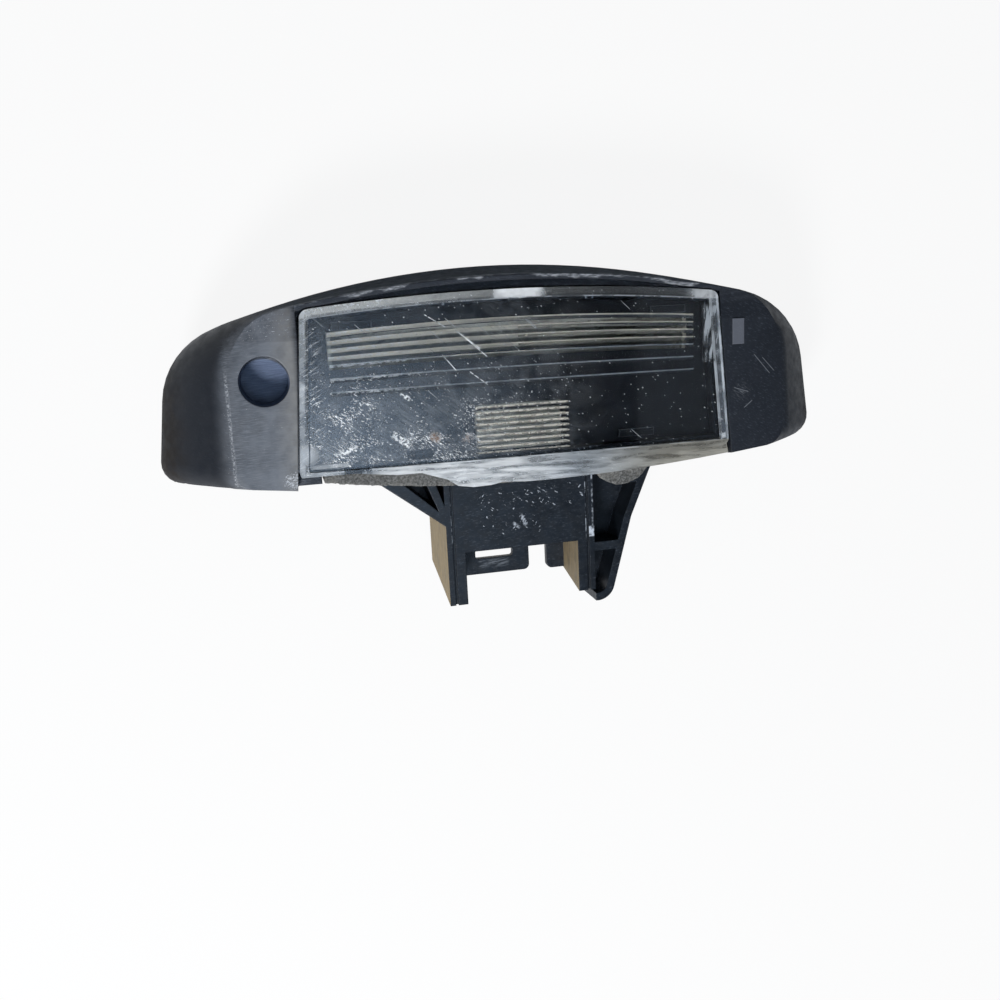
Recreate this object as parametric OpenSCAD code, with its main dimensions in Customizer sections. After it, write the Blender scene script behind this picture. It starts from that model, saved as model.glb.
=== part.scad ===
// Number plate lamp that clips into a van's rear door.
// It lies on its back: lens up (+Z), arched side towards +Y, plug socket towards -Y.
// X = 0 is the middle of the lamp, Z = 0 is the flat back and Y = 0 is the middle of the lens.

/* [Hood] */
// Depth of the lamp, from its flat back to its flat front
hood_depth = 28; // [26:0.5:34]
// Height of the widest level above the back
wide_z = 12.2; // [9:0.1:15]
// Width of the flat cheek beside the lens
cheek_w = 13.5; // [11.5:0.5:16]
// Width of the rounded shoulder beyond the flat cheek
shoulder_w = 12.5; // [9:0.5:18]
// Height of the ridge above the top of the lens
ridge_h = 2.5; // [2:0.1:3.5]
// Height of the arched shoulder above the ridge
shoulder_h = 2.4; // [1.5:0.1:5]
// Radius of the arch at the widest level
wide_arch_r = 165; // [150:1:190]
// Radius of the ridge at the front
face_arch_r = 217; // [190:1:260]
// Radius of the upper corners at the widest level
wide_corner_r = 15.5; // [12:0.5:18]
// Radius of the upper corners of the front facet
face_corner_r = 13; // [10:0.5:14]
// Outward lean of the end walls towards the door, in degrees
end_flare = 7.4; // [4:0.1:10]
// Share of that lean which the front facet has
lean_front = 0.25; // [0:0.05:1]
// Distance from the lens foot down to the door side, at the front
door_drop = 3.6; // [3.4:0.1:5]
// Fall of the door side for each millimetre towards the back
door_fall = 0.13; // [0.05:0.01:0.15]
// Radius of the door side
door_r = 400; // [300:10:600]
// Radius of the lower corners
foot_corner_r = 3.9; // [2:0.1:5]
// Inward curve of the ends, from the widest level to the back
back_in_x = 12; // [8:0.5:15]
// Inward curve of the arch, from the widest level to the back
back_in_y = 4.4; // [3:0.1:5]
// Inward curve of the door side, from the widest level to the back
back_in_door = 2.6; // [1:0.1:3]
// Wall thickness of the hood
hood_wall = 2.4; // [1.8:0.1:2.8]
// Share by which the end walls thicken towards the front
end_gain = 0.3; // [0:0.05:0.5]
// Width of the ridge over the lens
ridge_w = 0.9; // [0.6:0.1:1.2]
// Depth of the dark band between the ridge and the lens
band_depth = 1.7; // [1:0.1:2.2]
// How far that band runs past the lens at each end
band_over = 0.6; // [0.4:0.1:2]

/* [Hood details] */
// Distance from the lens side to the centre of the round recess
recess_in = 6.9; // [6.6:0.1:7.5]
// Centre of the round recess, up
recess_y = 3.6; // [1:0.1:5]
// Diameter of the recess at its rim
recess_d = 8.9; // [7:0.1:9]
// Diameter of the recess at its floor
recess_floor_d = 8.3; // [6:0.1:8.4]
// Depth of the recess
recess_depth = 4.7; // [3:0.1:6]
// Wall of the cup round the recess
recess_wall = 1.2; // [0.8:0.1:1.3]
// Distance from the lens side to the raised pad on the right cheek
pad_in = 2.9; // [2.7:0.1:4]
// Width of that pad
pad_w = 2.5; // [2:0.1:4]
// Height of that pad along the cheek
pad_h = 5; // [3:0.1:7]
// Lower end of that pad
pad_y = 5.1; // [2:0.1:6]
// How far the pad stands out
pad_out = 0.2; // [0.1:0.05:0.4]
// Lower edge of the bevel across the top of each cheek
bevel_y = 10.4; // [8:0.1:12]
// Slope of that bevel, in degrees
bevel_slope = 9; // [3:0.5:15]
// Distance from the lens side to the rib in each cheek
cheek_rib_in = 11; // [9:0.5:12]
// Thickness of the ribs in the cheeks
cheek_rib_t = 1.4; // [1:0.1:2]

/* [Lens] */
// Half width of the lens at its upper corners
lens_half = 40; // [38.5:0.1:40.2]
// Lean of the lens sides, in degrees
lens_flare = 4.6; // [3:0.1:5]
// Top of the lens on the middle line
lens_top = 17.7; // [17.2:0.1:18.2]
// Lower edge of the lens
lens_foot = -15.1; // [-15.6:0.1:-14.6]
// Radius of the arched top edge
lens_arch_r = 382; // [320:1:450]
// Radius of the lens corners
lens_corner_r = 1.8; // [1.2:0.1:3]
// Thickness of the raised lens frame
frame_t = 2.2; // [1.8:0.1:2.4]
// Width of the raised frame
frame_w = 1.6; // [1.2:0.1:2]
// How far the clear window lies below the frame
window_drop = 0.5; // [0.3:0.1:0.8]
// Thickness of the clear window
window_t = 1.4; // [1.1:0.1:1.6]
// Distance from the lens side to the ends of the ribbed band
rib_in = 4.6; // [4:0.1:8]
// Lowest rib of the ribbed band, at its ends
rib_y = 0.4; // [0:0.1:1]
// Number of widely spaced ribs
coarse_ribs = 2; // [1:1:2]
// Spacing of the widely spaced ribs
coarse_pitch = 2.42; // [1.8:0.02:2.5]
// Number of closely spaced ribs
fine_ribs = 5; // [3:1:5]
// Spacing of the closely spaced ribs
fine_pitch = 1.42; // [1.2:0.02:1.5]
// Rise of the uppermost rib between its ends and its middle
rib_rise = 1.3; // [0.6:0.1:1.6]
// Share of that rise which the lowest rib has at least
least_rise = 0.08; // [0.02:0.01:0.2]
// Width of each rib at its root
rib_w = 0.9; // [0.6:0.05:1.1]
// Height of each rib
rib_h = 0.7; // [0.4:0.05:0.9]
// Half width of the small ribbed window
port_half = 8.7; // [6:0.1:9]
// Upper edge of the small window
port_top = -3.6; // [-4:0.1:-3]
// Number of ribs on the small window
port_ribs = 8; // [4:1:8]
// Spacing of those ribs
port_pitch = 1.08; // [0.9:0.02:1.1]
// Share of that spacing which a rib fills
port_fill = 0.8; // [0.5:0.05:0.9]
// Left end of the lower lip, where its broken edge starts
lip_left = -20.2; // [-22:0.1:-18]
// How far the lower lip runs past the upper lens corner, on the right
lip_over = 2.3; // [1:0.1:2.4]
// Thickness of the lower lip
lip_t = 1.5; // [1:0.1:2]
// How far the lens foot is broken off along from its left corner
chip_l = 16; // [10:0.5:20]
// How much of the foot is missing there
chip_h = 1; // [0.6:0.1:1.1]
// How far the front of the lip lies below the front of the frame
lip_drop = 0.6; // [0.3:0.1:1]
// Gap between lens and hood
lens_gap = 0.3; // [0.2:0.05:0.5]
// Height of the hooks of the hood under the lower lens corners
hook_h = 3; // [2:0.1:4]
// How far each hook shows below the lens foot
hook_out = 0.9; // [0.5:0.1:1.2]
// Width of the post that carries each hook
hook_post_w = 1.6; // [1.2:0.1:2]

/* [Lamp base] */
// How far the tub wall stands in from the lens edge
tub_in = 1.2; // [1:0.1:1.6]
// Wall thickness of the tub
tub_wall = 1.8; // [1.6:0.1:2.2]
// Thickness of the tub floor
tub_floor = 1.6; // [1.2:0.1:2.4]
// Width of the ledge that carries the shield
ledge_w = 0.8; // [0.6:0.1:1]
// Length of the plinth beyond the outer end of the clip
plinth_past = 1; // [0.5:0.1:2]
// Distance from the lens foot down to the outer face of the plinth
plinth_drop = 2.5; // [2.1:0.1:2.9]
// Distance from the front of the lamp to the front of the plinth, the socket, the brace and the clip
socket_drop = 5.6; // [5.3:0.1:6]
// Half width of the plug socket outside
socket_half = 15.2; // [14.5:0.1:15.6]
// Thickness of the front wall of the socket
socket_wall = 1.5; // [1.2:0.1:2]
// Length of the front wall of the socket
socket_len = 15; // [13:0.1:17]
// Thickness of each side leg
leg_w = 3.6; // [3:0.1:4]
// Length of the legs at the front
leg_len = 25.6; // [24:0.1:28]
// Length of the legs at the back
leg_len_back = 21; // [18:0.1:24]
// Distance from the part's back to the back edge of the legs
leg_back = 2.4; // [1:0.1:4]
// Width of the slot down the door side of each leg
leg_slot_w = 1.2; // [0.8:0.1:1.4]
// Width and depth of the grooves down the front wall
groove = 0.5; // [0.3:0.1:0.8]
// Distance from the outer side of a leg to its groove
groove_in = 1.4; // [1:0.1:2]

/* [Socket back wall] */
// Distance from the front of the socket to its back wall
latch_drop = 10.2; // [9:0.1:11]
// Thickness of the back wall
latch_t = 1.4; // [1.2:0.1:2]
// Length of the latch arm below the plinth
latch_len = 22.6; // [20:0.1:24]
// How much further the block beside the arm reaches
latch_step = 0.3; // [0:0.1:1]
// Right edge of the latch arm
latch_arm = 3.9; // [3:0.1:5]
// Left edge of the block beside the latch arm
latch_block = 7.8; // [7:0.1:8.5]
// Left edge of the latch window
latch_win_left = -7.6; // [-9:0.1:-6]
// Right edge of the latch window
latch_win_right = 0.4; // [-1:0.1:1]
// Height of the latch arm below its window
latch_rim = 3.3; // [2.5:0.1:4]
// Height of the latch window
latch_win_h = 1.9; // [1.5:0.1:2.5]
// Length of the free slot beside the latch arm
latch_slot = 16; // [12:0.5:20]
// Radius of the corners of the latch arm
latch_round = 1.1; // [0.6:0.1:1.5]

/* [Brace and clip] */
// Width of the brace beside the socket
brace_w = 12.2; // [9:0.1:13]
// Length of the brace down the socket
brace_len = 9.4; // [8:0.1:11]
// Depth of the brace, front to back
brace_depth = 10; // [7:0.5:13]
// Distance from the socket to the head of the rib in the brace
brace_rib_x = 3.6; // [2.5:0.1:5]
// Thickness of the rim of brace and clip
rim_t = 1.6; // [1.2:0.1:1.8]
// Thickness of the web of brace and clip
web_t = 1.6; // [1.2:0.1:2]
// Depth of the spring clip, front to back
clip_depth = 8; // [6:0.5:10]
// Width of the clip at the plinth
clip_w = 12.8; // [11:0.1:14]
// Width of the clip at its bend
clip_bend_w = 8; // [7:0.1:9]
// Distance from the plinth down to the bend in the clip
clip_bend_len = 11; // [10:0.1:12]
// Distance from the socket to the centre of the rounded tip
tip_in = 0.4; // [0:0.1:0.8]
// Distance from the plinth down to the centre of the rounded tip
tip_len = 24.4; // [23:0.1:26]
// Radius of the rounded tip
tip_r = 3.7; // [3.2:0.1:4]
// Width of the solid upper corner of the clip
gusset_w = 7; // [5:0.1:8]
// Height of that corner
gusset_h = 4; // [3:0.1:5]
// Distance from the plinth down to the crossbar in the clip
crossbar_len = 15.7; // [14:0.1:18]
// Thickness of the crossbar
crossbar_t = 1.8; // [1.2:0.1:2.4]

/* [Optics] */
// Thickness of the shield
shield_t = 1.2; // [1:0.1:1.5]
// Lower edge of the light slot, at its ends
slot_y = 5.5; // [5.2:0.1:6]
// Height of the light slot
slot_h = 6; // [5:0.1:6.2]
// Rise of the light slot between its ends and its middle
slot_rise = 1; // [0.5:0.1:1.3]
// Length of each lug on the shield
lug_l = 7.2; // [5:0.1:8]
// Width of each lug on the shield
lug_w = 1.5; // [1:0.1:1.7]
// Height of each lug on the shield
lug_h = 0.8; // [0.4:0.1:0.9]
// Distance from the lens side to the middle of each upper lug
lug_in = 9.3; // [8:0.1:12]
// Distance from the lens side to the middle of the lower right lug
lug_in_right = 16.3; // [12:0.1:20]
// Distance from the lens side to the middle of the lower left lug
lug_in_left = 20.2; // [12:0.1:22]
// Distance from the top of the lens down to the upper lugs
lug_under = 5.2; // [5:0.1:6]
// Distance from the lens foot up to the lower lugs
lug_over = 4; // [3.8:0.1:5]
// Wall of the reflector
mirror_t = 1; // [0.8:0.1:1.2]
// Thickness of the reflector's flange
flange_t = 1; // [0.8:0.1:1.2]
// Thickness of the reflector's bridge over the bulb holder
bridge_t = 0.8; // [0.6:0.1:1]
// Space between the reflector trough and the tub, along the sides
mirror_side = 0.45; // [0.3:0.05:1.2]
// Space between the reflector trough and the tub, at the ends
mirror_end = 1.4; // [1:0.1:3]
// Steepness of the trough towards its rim
mirror_power = 2.6; // [2:0.1:3]
// Width of each foot under the reflector
mirror_foot_w = 2; // [1.5:0.1:3]
// Length of each foot under the reflector
mirror_foot_l = 6; // [4:0.1:8]
// Place of these feet, as a share of the half length of the trough
mirror_foot_at = 0.8; // [0.7:0.05:0.9]

/* [Bulbs] */
// Place of the bulb axis, up from the lens middle
bulb_y = -1; // [-1.5:0.1:0]
// Diameter of the glass
bulb_d = 9.8; // [9:0.1:10]
// Length of the glass past its wedge
bulb_len = 17.5; // [15:0.5:19]
// Thickness of the glass
glass_t = 0.9; // [0.6:0.05:1]
// Width of the wedge foot
wedge_w = 9.2; // [8.8:0.1:9.4]
// Thickness of the wedge foot
wedge_t = 2.4; // [2:0.1:2.6]
// Length of the wedge foot
wedge_l = 7; // [6:0.1:7]
// Thickness of the wires
wire_d = 0.4; // [0.3:0.05:0.4]
// Distance between the two wires that hold a filament
wire_span = 5; // [4:0.1:6]
// Length of the wires inside the glass
wire_len = 9; // [7:0.1:11]
// Distance from each end of the wedge foot to its wires
wire_in = 0.5; // [0.3:0.1:1]
// Thickness of the coiled filament
filament_d = 0.7; // [0.5:0.05:0.9]

/* [Holder and contacts] */
// Half length of the bulb holder
holder_half = 8.5; // [8.4:0.1:9]
// Wall of the bulb holder
holder_wall = 1.8; // [1.4:0.1:2]
// Thickness of the roof of the bulb holder
roof_t = 1; // [0.8:0.1:1.2]
// Thickness of the contact strip
strip_t = 0.5; // [0.4:0.05:0.6]
// Width of the contact strip and its pins
strip_w = 2.8; // [2.2:0.1:3]
// Thickness of each pin, folded from the strip
pin_t = 0.8; // [0.6:0.05:1]
// Distance of each pin from the middle
pin_x = 4; // [3.4:0.1:5]
// End of the pins in the socket
pin_end = -27; // [-29:0.1:-25]
// Distance from the edges of the holder to the contact plates in it
plate_in = 1; // [0.6:0.1:1.5]
// Height of the contact plates above the floor strips
plate_rise = 0.6; // [0.3:0.1:1]

/* [Gasket] */
// Distance from the lens side to each end of the foam gasket
foam_in = 2; // [1.6:0.1:4]
// Distance from the front of the lamp to the front of the foam
foam_drop = 2.6; // [2.4:0.1:3]
// Distance from the lens foot down to the outer face of the foam, on the middle line
foam_out = 3.9; // [3.5:0.1:4.2]
// Radius of the outer face of the foam
foam_r = 240; // [220:5:300]
// Gap between foam and plinth
foam_gap = 0.3; // [0.2:0.05:0.5]
// Place of the squeezed lump in the foam, across
lump_x = 20.6; // [18:0.1:24]
// Radius of that lump
lump_r = 6.6; // [5:0.1:8]
// How far that lump stands out of the foam
lump_out = 2.6; // [1:0.1:3]
// Thickness of that lump
lump_t = 1.8; // [1:0.1:2.4]

/* [Hidden] */
$fn = 48;
eps = 0.01;
// Reach of a cut past the solid that it cuts
past = 3;
// Clearance of a piece that drops into another
fit_gap = 0.1;
// Clearance of a strip that is pressed against a wall
press_gap = 0.05;
// Radius of an edge that is as good as straight
flat_r = 4000;
// Smallest radius of a lens corner that is drawn inwards
sharp_r = 0.4;
// Depth of the hood's opening below the back of the lens
seat_step = 1;
// Outline of the hood
face_half = lens_half + cheek_w;
wide_half = face_half + shoulder_w;
face_top = lens_top + ridge_h;
wide_top = face_top + shoulder_h;
door_y = lens_foot - door_drop;
band_half = lens_half + band_over;
recess_x = -lens_half - recess_in;
pad_x = lens_half + pad_in;
cheek_rib_x = lens_half + cheek_rib_in;
// Lens
rib_half = lens_half - rib_in;
lip_right = lens_half + lip_over;
rib_top_z = hood_depth - window_drop - window_t + eps;
rib_levels = concat([for (i = [0:coarse_ribs - 1]) rib_y + i * coarse_pitch],
    [for (i = [0:fine_ribs - 1]) rib_y + coarse_ribs * coarse_pitch + i * fine_pitch]);
// Heights of the lens stack
lens_back = hood_depth - frame_t;
socket_front = hood_depth - socket_drop;
shield_z = socket_front + 2 * fit_gap;
shield_front = shield_z + shield_t;
floor_z = hood_wall + tub_floor;
// Door-side faces of the tub
tub_y = lens_foot + tub_in;
tub_in_y = tub_y + tub_wall;
// Socket
plinth_y = lens_foot - plinth_drop;
socket_foot = plinth_y - socket_len;
leg_foot = plinth_y - leg_len;
leg_foot_back = plinth_y - leg_len_back;
latch_front = socket_front - latch_drop;
latch_foot = plinth_y - latch_len;
socket_back = latch_front - latch_t;
leg_in = socket_half - leg_w;
// Brace and clip
brace_x = socket_half + brace_w;
brace_foot = plinth_y - brace_len;
clip_x = socket_half + clip_w;
plinth_half = clip_x + plinth_past;
clip_bend = [socket_half + clip_bend_w, plinth_y - clip_bend_len];
clip_tip = [socket_half + tip_in, plinth_y - tip_len];
crossbar_y = plinth_y - crossbar_len;
// Bulb holder
holder_roof = wedge_w / 2 + 2 * fit_gap;
plate_gap = wedge_t / 2 + wire_d + press_gap;
holder_in = plate_gap + strip_t;
holder_out = holder_in + holder_wall;
wedge_tip = holder_half - wedge_l + fit_gap;
wedge_end = wedge_tip + wedge_l;
// Face of the contact risers beside the tub wall
riser_y = tub_in_y + press_gap;
pin_low = (latch_front + socket_front - socket_wall - pin_t) / 2;
// Reflector, in the room that the tub leaves at its ends
mirror_front = shield_z - flange_t;
mirror_rest = strip_t + 3 * fit_gap;
mirror_floor = floor_z + mirror_rest + mirror_t;
room_top = lens_top - lens_arch_r + sqrt(pow(lens_arch_r, 2) - pow(lens_half, 2)) - tub_in - tub_wall;
mirror_y = (room_top + tub_in_y) / 2;
mirror_half = (room_top - tub_in_y) / 2 - mirror_t - mirror_side;
mirror_len = lens_half - tub_in - tub_wall - mirror_t - mirror_end;
// The bulbs share the spare height between the trough and the shield
over_axis = holder_roof + roof_t + fit_gap;
spare = shield_z - mirror_floor - bulb_d / 2 - over_axis - bridge_t;
bulb_z = mirror_floor + bulb_d / 2 + spare / 2;
bridge_z = bulb_z + over_axis;
// Foam
foam_half = lens_half - foam_in;
hook_x = foam_half + 2 * fit_gap;
foam_front = hood_depth - foam_drop;
foam_y = lens_foot - foam_out;
// Broken edge of the lip: run from its left end, and drop below the lens foot
LIP_BREAK = [[0, 0], [5, 1.7], [7, 3.1], [10, 3.6], [13.4, 3.5], [15.6, 3.1], [20, 3.4]];
// Segments along each stretch of an outline
ARCH_N = 14;
CORNER_N = 8;
SIDE_N = 2;
FOOT_N = 5;
DOOR_N = 6;
ROUND_N = 4;
MIRROR_N = 10;
SHOULDER_N = 8;
BACK_N = 6;

// Points of a circular arc from angle a to angle b
function arc(c, r, a, b, n) = [for (i = [0:n]) let (t = a + (b - a) * i / n) c + r * [cos(t), sin(t)]];

function mirrored(pts) = [for (i = [len(pts) - 1:-1:0]) [-pts[i].x, pts[i].y]];

// Point list without its first entry
function tail(pts) = [for (i = [1:len(pts) - 1]) pts[i]];

// Right half of a D-shaped outline, from the middle of its foot round to the middle of its arch.
// The fillets touch the arch, the leaning side and the curved foot.
function half_outline(half, top, arch_r, corner_r, lean, foot, foot_r, foot_corner) =
    let (corner = [half - corner_r,
            top - arch_r + sqrt(pow(arch_r - corner_r, 2) - pow(half - corner_r, 2))],
        side = [cos(lean), sin(lean)],
        along = [sin(lean), -cos(lean)],
        side_top = corner + corner_r * side,
        foot_c = [0, foot + foot_r],
        q = side_top - foot_corner * side - foot_c,
        b = q * along,
        s = sqrt(b * b - q * q + pow(foot_r - foot_corner, 2)) - b,
        heel = side_top - foot_corner * side + s * along,
        heel_a = atan2(heel.y - foot_c.y, heel.x),
        arch_a = atan2(corner.y - top + arch_r, corner.x),
        heel_top = heel + foot_corner * side)
    concat(arc(foot_c, foot_r, -90, heel_a, DOOR_N),
        tail(arc(heel, foot_corner, heel_a, lean, FOOT_N)),
        [for (i = [1:SIDE_N]) heel_top + (side_top - heel_top) * i / SIDE_N],
        tail(arc(corner, corner_r, lean, arch_a, CORNER_N)),
        tail(arc([0, top - arch_r], arch_r, arch_a, 90, ARCH_N)));

function outline(half, top, arch_r, corner_r, lean, foot, foot_r, foot_corner) =
    let (right = half_outline(half, top, arch_r, corner_r, lean, foot, foot_r, foot_corner),
        left = mirrored(right))
    concat(right, [for (i = [1:len(left) - 2]) left[i]]);

// Share of the way from the front facet (0) to the widest level (1), and from there to the back
function shoulder(z) = sin(90 * min(1, (hood_depth - z) / (hood_depth - wide_z)));
function back_curve(z) = 1 - sqrt(1 - pow(max(0, (wide_z - z) / wide_z), 2));

function mix(a, b, t) = a + (b - a) * t;

// Lowest point of the door side at height z
function door_at(z) = door_y - door_fall * (hood_depth - max(z, wide_z)) + back_in_door * back_curve(z);

// Outline of the hood at height z, drawn in by a wall thickness
function hood_ring(z, inset, foot) =
    let (s = shoulder(z), e = back_curve(z))
    outline(mix(face_half, wide_half, s) - back_in_x * e - inset * (1 + end_gain * (1 - s)),
        mix(face_top, wide_top, s) - back_in_y * e - inset,
        mix(face_arch_r, wide_arch_r, s) - inset,
        mix(face_corner_r, wide_corner_r, s) - inset,
        end_flare * min(1, s + lean_front), foot, door_r, foot_corner_r);

// Closed skin through outlines that all have the same number of points
module skin(rings, heights) {
    n = len(rings[0]);
    m = len(rings);
    points = [for (k = [0:m - 1]) for (p = rings[k]) [p.x, p.y, heights[k]]];
    sides = [for (k = [0:m - 2]) for (i = [0:n - 1])
        let (a = k * n + i, b = k * n + (i + 1) % n)
        each [[a, a + n, b + n], [a, b + n, b]]];
    polyhedron(points, concat(sides,
        [[for (i = [0:n - 1]) i]], [[for (i = [n - 1:-1:0]) (m - 1) * n + i]]));
}

module hood_outer() {
    heights = concat([for (i = [0:BACK_N - 1]) wide_z * (1 - cos(90 * i / BACK_N))],
        [for (i = [0:SHOULDER_N]) mix(wide_z, hood_depth, i / SHOULDER_N)]);
    skin([for (z = heights) hood_ring(z, 0, door_at(z))], heights);
}

// Space inside the hood, open through the door side
module hood_inner() {
    low = hood_wall;
    high = hood_depth - hood_wall;
    heights = concat([for (i = [0:3]) mix(low, wide_z, i / 4)],
        [for (i = [0:4]) mix(wide_z, high, i / 4)]);
    skin([for (z = heights) hood_ring(z, hood_wall, door_y - hood_depth)], heights);
}

// Lens outline, drawn in by g
function lens_pts(g) = outline(lens_half - g, lens_top - g, lens_arch_r - g,
    max(lens_corner_r - g, sharp_r), lens_flare, lens_foot + g, flat_r, max(lens_corner_r - g, sharp_r));

// Lens outline grown by g and opened through the door side
function aperture_pts(g) = outline(lens_half + g, lens_top + g, lens_arch_r + g,
    lens_corner_r + g, lens_flare, door_y - past, flat_r, lens_corner_r);

module slab(pts, low, high) {
    translate([0, 0, low]) linear_extrude(high - low) polygon(pts);
}

// Sunk band between the ridge and the lens
module ridge_band() {
    translate([0, 0, hood_depth - band_depth])
    linear_extrude(band_depth + past)
    intersection() {
        translate([0, face_top - face_arch_r]) circle(r = face_arch_r - ridge_w, $fn = 360);
        translate([-band_half, 0]) square([2 * band_half, face_top]);
    }
}

module recess_cup() {
    translate([recess_x, recess_y, hood_depth - recess_depth - recess_wall])
    cylinder(d = recess_d + 2 * recess_wall, h = recess_depth);
}

module recess_bore() {
    translate([recess_x, recess_y, hood_depth - recess_depth])
    cylinder(d1 = recess_floor_d, d2 = recess_d, h = recess_depth + eps);
}

// Slight bevel across the top of each cheek, beyond the ends of the ridge
module cheek_bevels() {
    for (side = [-1, 1])
        translate([side > 0 ? band_half : -band_half - wide_half, bevel_y, hood_depth])
        rotate([-bevel_slope, 0, 0])
        cube([wide_half, wide_top, past]);
}

// Upright ribs that stiffen the hollow cheeks
module cheek_ribs() {
    intersection() {
        hood_outer();
        for (side = [-1, 1])
            translate([side * cheek_rib_x - cheek_rib_t / 2, 0, hood_wall / 2])
            cube([cheek_rib_t, wide_top, hood_depth - hood_wall - recess_depth - recess_wall]);
    }
}

// Hooks that reach in from the cheeks under both lower corners of the lens
module lens_hooks() {
    post_x = max([for (p = lens_pts(0)) p.x]) + lens_gap + fit_gap;
    low = lens_back - seat_step - fit_gap - hook_h;
    width = tub_y - 2 * fit_gap - (lens_foot - hook_out);
    for (side = [0, 1])
        mirror([side, 0, 0])
        translate([0, lens_foot - hook_out, low]) {
            translate([hook_x, 0, 0]) cube([post_x + hook_post_w - hook_x, width, hook_h]);
            translate([post_x, 0, 0]) cube([hook_post_w, width, hood_depth - hood_wall + eps - low]);
        }
}

module hood() {
    color([0.13, 0.13, 0.15])
    union() {
        difference() {
            union() {
                difference() {
                    hood_outer();
                    hood_inner();
                }
                recess_cup();
                cheek_ribs();
            }
            slab(aperture_pts(lens_gap), lens_back - seat_step, hood_depth + past);
            slab(aperture_pts(lens_gap - tub_in), hood_wall, lens_back);
            cheek_bevels();
            ridge_band();
            recess_bore();
        }
        translate([pad_x, pad_y, hood_depth - eps]) cube([pad_w, pad_h, pad_out + eps]);
        lens_hooks();
    }
}

// Radius of an arc that rises by `rise` over the half length `half`
function rise_r(half, rise) = (half * half + rise * rise) / (2 * rise);

// Wedge-shaped rib under the window that follows a long arc
module arched_rib(y, rise) {
    r = rise_r(rib_half, rise);
    a = asin(rib_half / r);
    translate([0, y + rise - r, 0])
    rotate([0, 0, 90 - a])
    rotate_extrude(angle = 2 * a, $fn = 720)
    polygon([[r - rib_w / 2, rib_top_z], [r + rib_w / 2, rib_top_z], [r + rib_w / 2, rib_top_z - rib_h]]);
}

module lens_ribs() {
    for (y = rib_levels)
        arched_rib(y, rib_rise * max(least_rise, y / rib_levels[len(rib_levels) - 1]));
    for (i = [0:port_ribs - 1])
        translate([-port_half, port_top - i * port_pitch, rib_top_z])
        rotate([90, 0, 90])
        linear_extrude(2 * port_half)
        polygon([[-port_pitch * port_fill, 0], [0, 0], [0, -rib_h]]);
}

// Lower lip in the plane of the lens, with the broken ramp at its left end
function lip_pts() =
    concat([[lip_left, lens_foot + frame_w / 2]],
        [for (p = LIP_BREAK) [lip_left + p.x, lens_foot - p.y]],
        [for (i = [0:DOOR_N]) let (x = mix(port_half / 2, lip_right, i / DOOR_N))
            [x, door_y + fit_gap + door_r - sqrt(door_r * door_r - x * x)]],
        [[lip_right - frame_w / 4, lens_foot + frame_w / 2]]);

// Strip that is broken off the foot of the lens at its left corner
module foot_break() {
    edge = -lens_half - past;
    slab([[edge, lens_foot - past], [edge, lens_foot + chip_h], [-lens_half + chip_l / 2, lens_foot + chip_h],
        [-lens_half + chip_l, lens_foot - eps], [-lens_half + chip_l, lens_foot - past]],
        lens_back - past, hood_depth + past);
}

module lens() {
    color([0.75, 0.78, 0.8, 0.4])
    difference() {
        union() {
            difference() {
                slab(lens_pts(0), lens_back, hood_depth);
                slab(lens_pts(frame_w), lens_back - past, hood_depth + past);
            }
            slab(lens_pts(frame_w / 2), hood_depth - window_drop - window_t, hood_depth - window_drop);
            slab(lip_pts(), hood_depth - lip_drop - lip_t, hood_depth - lip_drop);
            lens_ribs();
        }
        foot_break();
    }
}

module lug(x, y) {
    translate([x - lug_l / 2, y - lug_w / 2, shield_front - eps]) cube([lug_l, lug_w, lug_h + eps]);
}

module light_shield() {
    slot_r = rise_r(rib_half, slot_rise);
    color([0.09, 0.09, 0.1])
    union() {
        difference() {
            slab(lens_pts(tub_in + tub_wall - ledge_w + fit_gap), shield_z, shield_front);
            translate([0, 0, shield_z - past])
            linear_extrude(shield_t + 2 * past)
            intersection() {
                difference() {
                    translate([0, slot_y + slot_h + slot_rise - slot_r]) circle(r = slot_r, $fn = 720);
                    translate([0, slot_y + slot_rise - slot_r]) circle(r = slot_r, $fn = 720);
                }
                translate([-rib_half, 0]) square([2 * rib_half, lens_top]);
            }
            translate([-port_half, port_top - port_ribs * port_pitch, shield_z - past])
            cube([2 * port_half, port_ribs * port_pitch, shield_t + 2 * past]);
        }
        lug(lug_in - lens_half, lens_top - lug_under);
        lug(lens_half - lug_in, lens_top - lug_under);
        lug(lens_half - lug_in_right, lens_foot + lug_over);
        lug(lug_in_left - lens_half, lens_foot + lug_over);
    }
}

// Section of the reflector trough, from rim to rim, moved out by g
function mirror_pts(g) = [for (i = [-MIRROR_N:MIRROR_N])
    let (t = i / MIRROR_N)
    [mirror_y + t * (mirror_half + g),
        mirror_floor - g + (mirror_front + eps - mirror_floor + g) * pow(abs(t), mirror_power)]];

module mirror_solid(g, half) {
    translate([-half, 0, 0])
    rotate([90, 0, 90])
    linear_extrude(2 * half)
    polygon(mirror_pts(g));
}

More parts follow.
